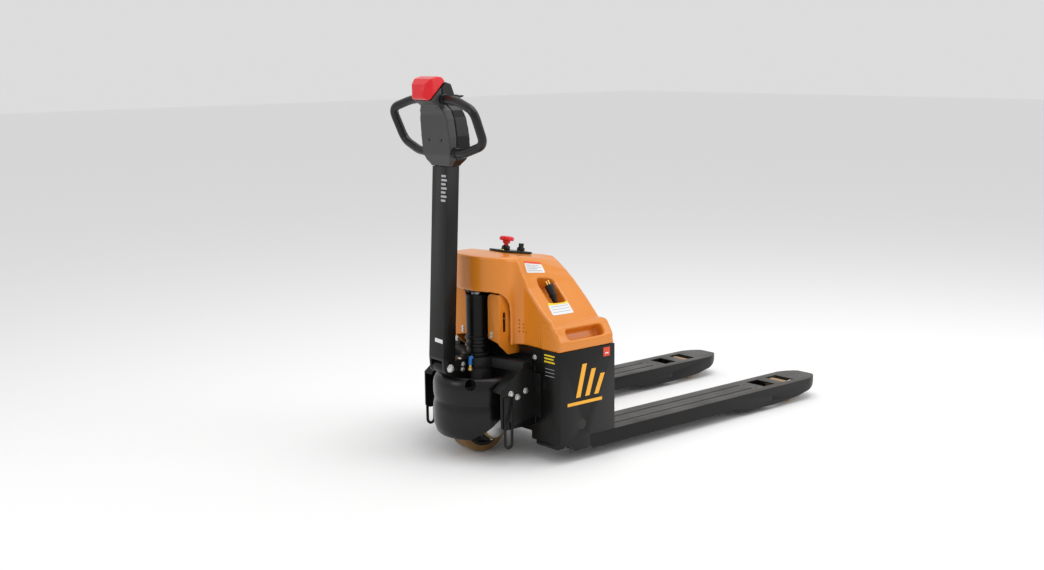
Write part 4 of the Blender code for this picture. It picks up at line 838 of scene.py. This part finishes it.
class TRUCK_OT_belly_cap(bpy.types.Operator):
    """Moulds the red safety button on the head's end"""

    bl_idname = "truck.belly_cap"
    bl_label = "Belly button"

    def execute(self, context):
        low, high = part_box("belly_button")
        seam = [(-0.0945, 0.2185), (-0.0325, 0.2805)]
        crown = [(-0.044, 0.2925), (-0.062, 0.2955), (-0.088, 0.288)]
        crown += [(-0.106, 0.270), (-0.1125, 0.248), (-0.109, 0.226)]
        cap = bar("belly_cap", [(HEAD_X + x, ARM_TOP + z) for x, z in seam + crown], low.y, high.y, "Y")
        plan = [(-0.025, 0.050), (-0.066, 0.050), (-0.090, 0.0455), (-0.106, 0.036), (-0.1135, 0.022)]
        outline = [(HEAD_X + x, y) for x, y in plan] + [(HEAD_X + x, -y) for x, y in reversed(plan)]
        carve(cap, bar("belly_plan", outline, 1.1, 1.4, "Z"), operation="INTERSECT")
        mould(cap, 0.0016, rounds=10, keep=0.5)
        hand_over(cap, "belly_button", "red moulding", "belly_button", angle=60)
        return {"FINISHED"}


class TRUCK_OT_handle_loops(bpy.types.Operator):
    """Makes the two closed handles beside the head, with their raised end collars"""

    bl_idname = "truck.handle_loops"
    bl_label = "Handle loops"

    def execute(self, context):
        radius = context.scene.truck_sizes.loop_radius
        corners = [(-0.043, 0.036, 0.222), (-0.044, 0.118, 0.219), (-0.055, 0.222, 0.188)]
        corners += [(-0.008, 0.216, 0.078), (-0.017, 0.112, 0.044), (-0.016, 0.050, 0.052)]
        for word, side in SIDES:
            route = rounded_route([at_head(x, side * y, z) for x, y, z in corners], 0.032, 10)
            loop = tube("handle_" + word, route, [radius] * len(route), 28)
            inner, outer = radius + 0.0015, radius + 0.0032
            profile = [(inner, -0.004), (outer, -0.002), (outer, 0.008), (inner, 0.010)]
            ends = (
                ("top", (-0.043, side * 0.052, 0.2215), (0, side, 0)),
                ("low", (-0.0165, side * 0.078, 0.0475), (0, side, -0.1)),
            )
            hand_over(loop, "tiller", "rubber", "handle_loop_" + word)
            for end, place, aim in ends:
                collar = turned(f"collar_{end}_{word}", at_head(*place), aim, profile, 28)
                hand_over(collar, "tiller", "rubber")
        return {"FINISHED"}


class TRUCK_OT_head_controls(bpy.types.Operator):
    """Rounds the throttle's wings and the push buttons"""

    bl_idname = "truck.head_controls"
    bl_label = "Head controls"

    def execute(self, context):
        for node in ("throttle_lever", "raise_button", "lower_button", "horn_button"):
            piece = merged_copy(node, node + "_rounded")
            round_edges(piece, 0.0012, 3, 40)
            hand_over(piece, BODY_OF[node], FINISH_OF_SLOT[SLOT_OF[node]], node)
        return {"FINISHED"}


# Steering unit


def hex_bolt(name, place, aim, radius, body):
    """A zinc-plated hexagon head on a washer, with a domed end."""
    across, up, along = basis(aim)
    place = Vector(place)
    rings = ((radius, -0.001), (radius, radius * 0.62), (radius * 0.86, radius * 0.74))
    head = loft(name, [ring(place + along * h, r, 6, across, up) for r, h in rings])
    washer = [(radius * 1.28, -0.0006), (radius * 1.28, 0.0010), (radius * 1.2, 0.0014)]
    join(head, turned(name + "_washer", place, aim, washer, 28))
    round_edges(head, 0.0003, 2, 30)
    hand_over(head, body, "zinc plate")


class TRUCK_OT_shroud(bpy.types.Operator):
    """Moulds the wheel shroud with its waist crease, rolled rim and two access holes"""

    bl_idname = "truck.shroud"
    bl_label = "Wheel shroud"

    def execute(self, context):
        centre = Vector((STEER_X, 0, 0))
        outside = [(0.128, 0.060), (0.146, 0.078), (0.155, 0.105), (0.1575, 0.140), (0.1570, 0.172)]
        outside += [(0.1535, 0.186), (0.1515, 0.192), (0.1535, 0.199), (0.1562, 0.215), (0.1560, 0.248)]
        outside += [(0.1530, 0.264), (0.1470, 0.276), (0.1400, 0.282), (0.132, 0.285)]
        inside = [(r - 0.005, z) for r, z in outside]
        inside[0] = (inside[0][0], 0.03)
        inside[-1] = (inside[-1][0] - 0.005, 0.34)
        skin = turned("shroud_moulding", centre, (0, 0, 1), outside, 96)
        carve(skin, turned("shroud_room", centre, (0, 0, 1), inside, 96))
        back = box("shroud_back", (STEER_X + 0.020, -0.3, -0.1), (STEER_X + 0.3, 0.3, 0.5))
        skirt = [(-0.118, 0.030), (-0.108, 0.074), (-0.084, 0.096), (-0.060, 0.114), (-0.034, 0.138)]
        skirt += [(-0.008, 0.168), (0.018, 0.190), (0.050, 0.200), (0.100, 0.030)]
        hem = bar("shroud_hem", [(STEER_X + x, z) for x, z in skirt], -0.2, 0.2, "Y")
        carve(skin, back, hem)
        for i, side in enumerate((-1, 1)):
            aim = Vector((-0.72, side * 0.60, 0.62))
            start = Vector((STEER_X - 0.096, side * 0.086, 0.252))
            carve(skin, turned(f"access_hole_{i}", start, aim, [(0.019, 0), (0.019, 0.10)], 28))
        round_edges(skin, 0.0014, 2, 40)
        hand_over(skin, "drive_unit", "black moulding", "wheel_shroud", angle=45)
        return {"FINISHED"}


class TRUCK_OT_drive_wheel(bpy.types.Operator):
    """Turns the wheel's tread and the ring on the motor's end cap, rounds the hub, and adds the end cap's
    plate and the motor's bolts
    """

    bl_idname = "truck.drive_wheel"
    bl_label = "Drive wheel"

    def execute(self, context):
        centre = Vector((STEER_X, 0, WHEEL_Z))
        tread = [(0.0832, -0.035), (0.0985, -0.035), (0.1030, -0.0335), (0.1048, -0.0300), (0.1050, -0.0250)]
        profile = tread + [(r, -h) for r, h in reversed(tread)]
        rim = turned("drive_tread", centre, (0, 1, 0), profile, 96)
        carve(rim, turned("tread_bore", centre, (0, 1, 0), [(0.0832, -0.1), (0.0832, 0.1)], 96))
        hand_over(rim, "drive_wheel", "drive tread", "drive_wheel_tread", angle=40)
        hub = merged_copy("drive_wheel_hub", "drive_hub")
        round_edges(hub, 0.0012, 2, 40)
        hand_over(hub, "drive_wheel", "cast iron", "drive_wheel_hub")
        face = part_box("drive_motor_cap")[0].y
        seat, outward = (STEER_X, face + 0.012, WHEEL_Z), (0, -1, 0)
        profile = [(0.0485, -0.004), (0.0495, 0.0), (0.0495, 0.004), (0.0482, 0.006)]
        motor_ring = turned("motor_ring", seat, outward, profile, 64)
        carve(motor_ring, turned("ring_bore", seat, outward, [(0.0473, -0.02), (0.0473, 0.02)], 64))
        hand_over(motor_ring, "drive_unit", "gold ring")
        lie = ((STEER_X + 0.002, face - 0.0002, WHEEL_Z + 0.004), (1, 0, 0), (0, 0, 1))
        plate = panel_on("motor_plate", *lie, (0.034, 0.024), 0.002, [(0.0, 0), (0.0006, 0)])
        hand_over(plate, "drive_unit", "white label")
        flange = Vector((STEER_X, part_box("drive_motor_housing")[0].y + 0.0045, WHEEL_Z))
        for i in range(6):
            t = 2 * pi * (i + 0.5) / 6
            place = flange + Vector((0.054 * cos(t), 0, 0.054 * sin(t)))
            hex_bolt(f"motor_bolt_{i}", place, outward, 0.0042, "drive_unit")
        return {"FINISHED"}


class TRUCK_OT_fasteners(bpy.types.Operator):
    """Puts in the bolts on the side brackets, the tiller's foot and the mast posts"""

    bl_idname = "truck.fasteners"
    bl_label = "Fasteners"

    def execute(self, context):
        size = context.scene.truck_sizes.bolt_head
        pivot_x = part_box("tiller_pivot_bolt")[0].x + 0.0135
        for word, side in SIDES:
            out, forward = (0, side, 0), (-1, 0, 0)
            for i, (x, z) in enumerate(((-0.356, 0.242), (-0.327, 0.227), (-0.291, 0.243))):
                hex_bolt(f"bracket_bolt_{word}_{i}", at(x, side * 0.2145, z), out, size, "chassis")
            corner = (FRONT - 0.0005, side * 0.215, 0.352)
            hex_bolt(f"corner_bolt_{word}", corner, forward, size * 0.85, "chassis")
            for i, (x, z) in enumerate(((-0.412, 0.322), (-0.415, 0.304))):
                place = at(x, side * 0.0302, z)
                hex_bolt(f"arm_bolt_{word}_{i}", place, out, size * 0.75, "drive_unit")
            for i, z in enumerate((0.412, 0.424)):
                place = at(-0.3265, side * 0.078, z)
                hex_bolt(f"post_bolt_{word}_{i}", place, forward, size * 0.6, "chassis")
            place = (pivot_x, side * 0.0485, 0.320)
            hex_bolt(f"pivot_nut_{word}", place, out, size * 1.25, "tiller")
        hex_bolt("arm_top_bolt", at(-0.419, -0.018, 0.3385), (-0.25, 0, 1), size * 0.8, "drive_unit")
        return {"FINISHED"}


# Forks


GROOVE_ROWS = (-0.030, 0.030)  # across each fork, from its middle


def fork_grooves(word, side):
    """Two long shallow dashes pressed into each fork's top."""
    tools = []
    width = bpy.context.scene.truck_sizes.groove
    depths = [(-0.0026, -0.0016), (0.0, 0.0), (0.004, 0.001)]
    for i, row in enumerate(GROOVE_ROWS):
        lie = ((REAR + 0.395, side * FORK_Y + row, FORK_TOP), (1, 0, 0), (0, 1, 0))
        tools.append(panel_on(f"groove_{word}_{i}", *lie, (0.770, width), width * 0.45, depths))
    return tools


class TRUCK_OT_forks(bpy.types.Operator):
    """Presses the grooves into the forks and rounds their folded edges"""

    bl_idname = "truck.forks"
    bl_label = "Forks"

    def execute(self, context):
        edge = context.scene.truck_sizes.edge
        for word, side in SIDES:
            fork = merged_copy("fork_" + word, "fork_pressing_" + word)
            round_edges(fork, edge * 2.2, 3, 34)
            carve(fork, *fork_grooves(word, side))
            hand_over(fork, "chassis", "fork paint", "fork_" + word)
            dome = [(0.006, 0), (0.0055, 0.001), (0.003, 0.0014)]
            for i, row in enumerate(GROOVE_ROWS):
                place = (REAR + 0.806, side * FORK_Y + row, FORK_TOP - 0.0005)
                rivet = turned(f"fork_rivet_{word}_{i}", place, (0, 0, 1), dome, 20)
                hand_over(rivet, "chassis", "satin black paint")
        return {"FINISHED"}


# Controls on the hood


PANEL_FALL = Matrix.Rotation(0.1508, 4, "Y")
PANEL_MIDDLE = Vector((REAR - 0.172, 0, 0.6782))
PANEL_OUT = PANEL_FALL @ Vector((0, 0, 1))
STOP_X, KEY_X = -0.024, 0.045  # along the panel


def on_panel(x, y, z):
    """A place over the control panel: along it, across it and out of it."""
    return PANEL_MIDDLE + PANEL_FALL @ Vector((x, y, z))


class TRUCK_OT_top_controls(bpy.types.Operator):
    """Makes the emergency stop's ribbed mushroom, the key switch and its key"""

    bl_idname = "truck.top_controls"
    bl_label = "Hood controls"

    def execute(self, context):
        clear = 0.0303  # underside of the mushroom over the panel
        rise = [(0.0122, 0.001), (0.0134, 0.003), (0.0128, 0.008), (0.0160, 0.010), (0.0238, 0.0105)]
        rise += [(0.0256, 0.0140), (0.0254, 0.0190), (0.0225, 0.0235), (0.0160, 0.0255), (0.0060, 0.0262)]
        profile = [(0.0079, 0.0095), (0.0079, clear)] + [(r, clear + h) for r, h in rise]
        stop = turned("stop_mushroom", on_panel(STOP_X, 0, 0), PANEL_OUT, profile, 48)
        across, up, along = basis(PANEL_OUT)
        for i in range(8):
            t = 2 * pi * i / 8
            place = on_panel(STOP_X, 0, clear + 0.0145) + 0.0278 * (across * cos(t) + up * sin(t))
            hollow = [(0.0042, 0), (0.0042, 0.02)]
            carve(stop, turned(f"finger_{i}", place - along * 0.01, PANEL_OUT, hollow, 14))
        round_edges(stop, 0.0006, 2, 38)
        hand_over(stop, "e_stop", "red moulding", "e_stop_button", angle=45)
        profile = [(0.0140, 0.0085), (0.0140, 0.0150), (0.0128, 0.0190), (0.0100, 0.0205)]
        switch = turned("key_barrel", on_panel(KEY_X, 0, 0), PANEL_OUT, profile, 40)
        bore = [(0.0053, 0.0), (0.0053, 0.05)]
        carve(switch, turned("key_bore", on_panel(KEY_X, 0, 0), PANEL_OUT, bore, 24))
        hand_over(switch, "chassis", "black moulding", "key_switch")
        key = merged_copy("key", "key_rounded")
        round_edges(key, 0.0010, 2, 40)
        hand_over(key, "key", "black moulding", "key")
        dome = [(0.0045, 0), (0.0045, 0.0012), (0.0030, 0.0026)]
        lamp = turned("charge_lamp", on_panel(-0.055, -0.022, 0.0080), PANEL_OUT, dome, 20)
        hand_over(lamp, "chassis", "yellow print")
        return {"FINISHED"}


class TRUCK_OT_charger_plug(bpy.types.Operator):
    """Makes the stowed charger plug with its grip ribs and two blades"""

    bl_idname = "truck.charger_plug"
    bl_label = "Charger plug"

    def execute(self, context):
        top, foot = at(-0.146, -0.171, 0.580), at(-0.146, -0.205, 0.525)
        aim = (top - foot).normalized()
        reach = (top - foot).length
        profile = [(0.0075, 0.0), (0.0085, 0.002), (0.0125, reach * 0.45)]
        profile += [(0.0150, reach * 0.78), (0.0160, reach * 0.94), (0.0145, reach)]
        plug = turned("plug_body", foot, aim, profile, 36)
        for i in range(4):
            h, r = reach * (0.12 + 0.09 * i), 0.0085 + 0.0016 * i
            ridge = [(r + 0.0005, h), (r + 0.0017, h + 0.0012), (r + 0.0005, h + 0.0026)]
            join(plug, turned(f"plug_rib_{i}", foot, aim, ridge, 36))
        hand_over(plug, "chassis", "rubber", "charger_plug")
        for i, y in enumerate((-0.006, 0.006)):
            low, high = (-0.0028, y - 0.0008, reach - 0.002), (0.0028, y + 0.0008, reach + 0.017)
            blade = box(f"plug_blade_{i}", low, high)
            round_edges(blade, 0.0004, 2, 30)
            turn = aim.to_track_quat("Z", "Y").to_matrix().to_4x4()
            blade.data.transform(Matrix.Translation(foot) @ turn)
            hand_over(blade, "chassis", "brass")
        return {"FINISHED"}


# Marks


def side_patch(x0, x1, z0, z1, lean=0.0):
    """Four corners on the battery box's right side, with the top shifted by lean."""
    return [at(x, -HALF, z) for x, z in ((x0, z0), (x1, z0), (x1 + lean, z1), (x0 + lean, z1))]


def front_patch(y0, y1, z0, z1):
    """Four corners on the battery box's front face."""
    return [(FRONT, y, z) for y, z in ((y0, z0), (y1, z0), (y1, z1), (y0, z1))]


class TRUCK_OT_box_marks(bpy.types.Operator):
    """Puts plain painted marks on the battery box's side and front"""

    bl_idname = "truck.box_marks"
    bl_label = "Marks"

    def execute(self, context):
        for i, (shift, top) in enumerate(((0.0, 0.334), (0.0416, 0.312), (0.0832, 0.290))):
            stripe = side_patch(shift - 0.180, shift - 0.160, 0.222, top, 0.030)
            label(f"side_stripe_{i}", stripe, "orange mark", "chassis")
        label("side_rule", side_patch(-0.218, -0.060, 0.197, 0.208), "orange mark", "chassis")
        label("side_badge", side_patch(-0.053, -0.023, 0.345, 0.376), "red print", "chassis")
        badge_bar = side_patch(-0.046, -0.030, 0.354, 0.358)
        label("side_badge_bar", badge_bar, "white label", "chassis", 0.0011, 0.0002)
        for i in range(3):
            z, far = 0.366 - i * 0.011, -0.264 - 0.052 + 0.006 * (i % 2)
            label(f"front_row_{i}", front_patch(-0.264, far, z, z + 0.005), "yellow print", "chassis")
        for i in range(3):
            z = 0.322 - i * 0.012
            label(f"front_rule_{i}", front_patch(-0.268, -0.314, z, z + 0.0015), "grey print", "chassis")
        return {"FINISHED"}


class TRUCK_OT_tiller_marks(bpy.types.Operator):
    """Puts the pale plates on the tiller's arm"""

    bl_idname = "truck.tiller_marks"
    bl_label = "Tiller plates"

    def execute(self, context):
        face = self.face
        near = -0.010  # near edge of the printed rows
        for i in range(7):
            z, far = 0.962 - i * 0.0135, near - (0.030 if i % 2 else 0.024)
            top = z + 0.007
            row = [(face(h), y, h) for y, h in ((near, z), (far, z), (far, top), (near, top))]
            label(f"arm_row_{i}", row, "grey print", "tiller", 0.0005, 0.0002)
        plate = [(face(0.408), 0.008, 0.408), (face(0.408), -0.034, 0.406)]
        plate += [(face(0.420), -0.034, 0.419), (face(0.420), 0.008, 0.421)]
        label("arm_plate", plate, "white label", "tiller", 0.0006, 0.0003)
        return {"FINISHED"}

    @staticmethod
    def face(z):
        """The arm's front face leans a little towards the forks."""
        foot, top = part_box("tiller_pivot_bolt")[0].x + 0.0135, HEAD_X
        return foot + (top - foot) * (z - 0.320) / (ARM_TOP - 0.320) - 0.025


class TRUCK_OT_welds(bpy.types.Operator):
    """Lays weld beads where the brackets and forks meet the battery box"""

    bl_idname = "truck.welds"
    bl_label = "Welds"

    def execute(self, context):
        for word, side in SIDES:
            up_bracket = [(FRONT - 0.0005, side * 0.2155, z) for z in steps_between(0.125, 0.325, 0.004)]
            rows = steps_between(-0.072, 0.072, 0.004)
            over_heel = [(REAR - 0.001, side * FORK_Y + y, FORK_TOP + 0.0012) for y in rows]
            for place, points in (("bracket", up_bracket), ("heel", over_heel)):
                route = [Vector(point) for point in points]
                radii = [0.0019 + 0.0005 * (i % 2) for i in range(len(route))]
                bead = tube(f"weld_{place}_{word}", route, radii, 10)
                hand_over(bead, "chassis", "satin black paint", angle=60)
        return {"FINISHED"}


# Stage

CAMERA_PLACE = (-3.4769, -3.6188, 1.3678)
CAMERA_YAW, CAMERA_PITCH, CAMERA_ROLL = 49.78, 9.71, -0.59


class TRUCK_OT_stage(bpy.types.Operator):
    """Lays the floor and sets the lights and the camera"""

    bl_idname = "truck.stage"
    bl_label = "Stage"

    def execute(self, context):
        scene = context.scene
        deselect()
        bpy.ops.mesh.primitive_plane_add(size=60, location=(0, 0, -0.0005))
        floor = context.object
        floor.name = "studio_floor"
        paint = finish("studio floor", scene.truck_colours.floor, 0.75, 60, 0.0, 0.0, 0.0, 0.0)
        floor.data.materials.append(paint)
        world = bpy.data.worlds.new("studio")
        scene.world = world
        world.use_nodes = True
        world.node_tree.nodes["Background"].inputs["Color"].default_value = (1, 1, 1, 1)
        world.node_tree.nodes["Background"].inputs["Strength"].default_value = 0.72
        for name, place, aim, size, power in (
            ("top_softbox", (0.4, -0.6, 3.6), (0.0, 0, 0.3), 3.0, 62),
            ("right_softbox", (2.2, -3.4, 2.3), (0.0, 0, 0.4), 2.4, 34),
            ("left_strip", (-3.6, 0.6, 1.8), (-0.5, 0, 0.6), 1.2, 12),
        ):
            light = bpy.data.lights.new(name, "AREA")
            light.shape, light.size, light.energy = "SQUARE", size, power
            lamp = bpy.data.objects.new(name, light)
            lamp.location = place
            lamp.rotation_euler = (Vector(aim) - Vector(place)).to_track_quat("-Z", "Y").to_euler()
            scene.collection.objects.link(lamp)
        camera = bpy.data.objects.new("camera", bpy.data.cameras.new("camera"))
        camera.data.sensor_width = 36
        camera.data.lens = 47.07
        yaw, pitch, roll = (radians(a) for a in (CAMERA_YAW, CAMERA_PITCH, CAMERA_ROLL))
        ahead = Vector((cos(yaw) * cos(pitch), sin(yaw) * cos(pitch), -sin(pitch)))
        level = Vector((sin(yaw), -cos(yaw), 0))
        rise = level.cross(ahead)
        across, up = level * cos(roll) + rise * sin(roll), rise * cos(roll) - level * sin(roll)
        turn = Matrix((across, up, -ahead)).transposed().to_4x4()
        camera.matrix_world = Matrix.Translation(CAMERA_PLACE) @ turn
        scene.collection.objects.link(camera)
        scene.camera = camera
        scene.view_settings.view_transform = "Standard"
        return {"FINISHED"}


class TRUCK_PT_panel(bpy.types.Panel):
    """Lists the truck's pieces in the order that they are made"""

    bl_idname = "TRUCK_PT_panel"
    bl_label = "Pallet Truck"
    bl_space_type = "VIEW_3D"
    bl_region_type = "UI"
    bl_category = "Truck"

    def draw(self, context):
        for settings in (context.scene.truck_colours, context.scene.truck_sizes):
            for key in settings.__annotations__:
                self.layout.prop(settings, key)
        for operator in OPERATORS:
            self.layout.operator(operator.bl_idname)


OPERATORS = (
    TRUCK_OT_finishes,
    TRUCK_OT_metalwork,
    TRUCK_OT_hood,
    TRUCK_OT_hood_labels,
    TRUCK_OT_head,
    TRUCK_OT_belly_cap,
    TRUCK_OT_handle_loops,
    TRUCK_OT_head_controls,
    TRUCK_OT_shroud,
    TRUCK_OT_drive_wheel,
    TRUCK_OT_fasteners,
    TRUCK_OT_forks,
    TRUCK_OT_top_controls,
    TRUCK_OT_charger_plug,
    TRUCK_OT_box_marks,
    TRUCK_OT_tiller_marks,
    TRUCK_OT_welds,
    TRUCK_OT_stage,
)
CLASSES = (TruckColours, TruckSizes, *OPERATORS, TRUCK_PT_panel)


def register():
    for cls in CLASSES:
        bpy.utils.register_class(cls)
    bpy.types.Scene.truck_colours = PointerProperty(type=TruckColours)
    bpy.types.Scene.truck_sizes = PointerProperty(type=TruckSizes)


def unregister():
    del bpy.types.Scene.truck_colours, bpy.types.Scene.truck_sizes
    for cls in reversed(CLASSES):
        bpy.utils.unregister_class(cls)


def main():
    for name in ("Cube", "Light", "Camera"):
        if name in bpy.data.objects:
            bpy.data.objects.remove(bpy.data.objects[name])
    register()
    for operator in OPERATORS:
        group, word = operator.bl_idname.split(".")
        getattr(getattr(bpy.ops, group), word)()


if __name__ == "__main__":
    main()
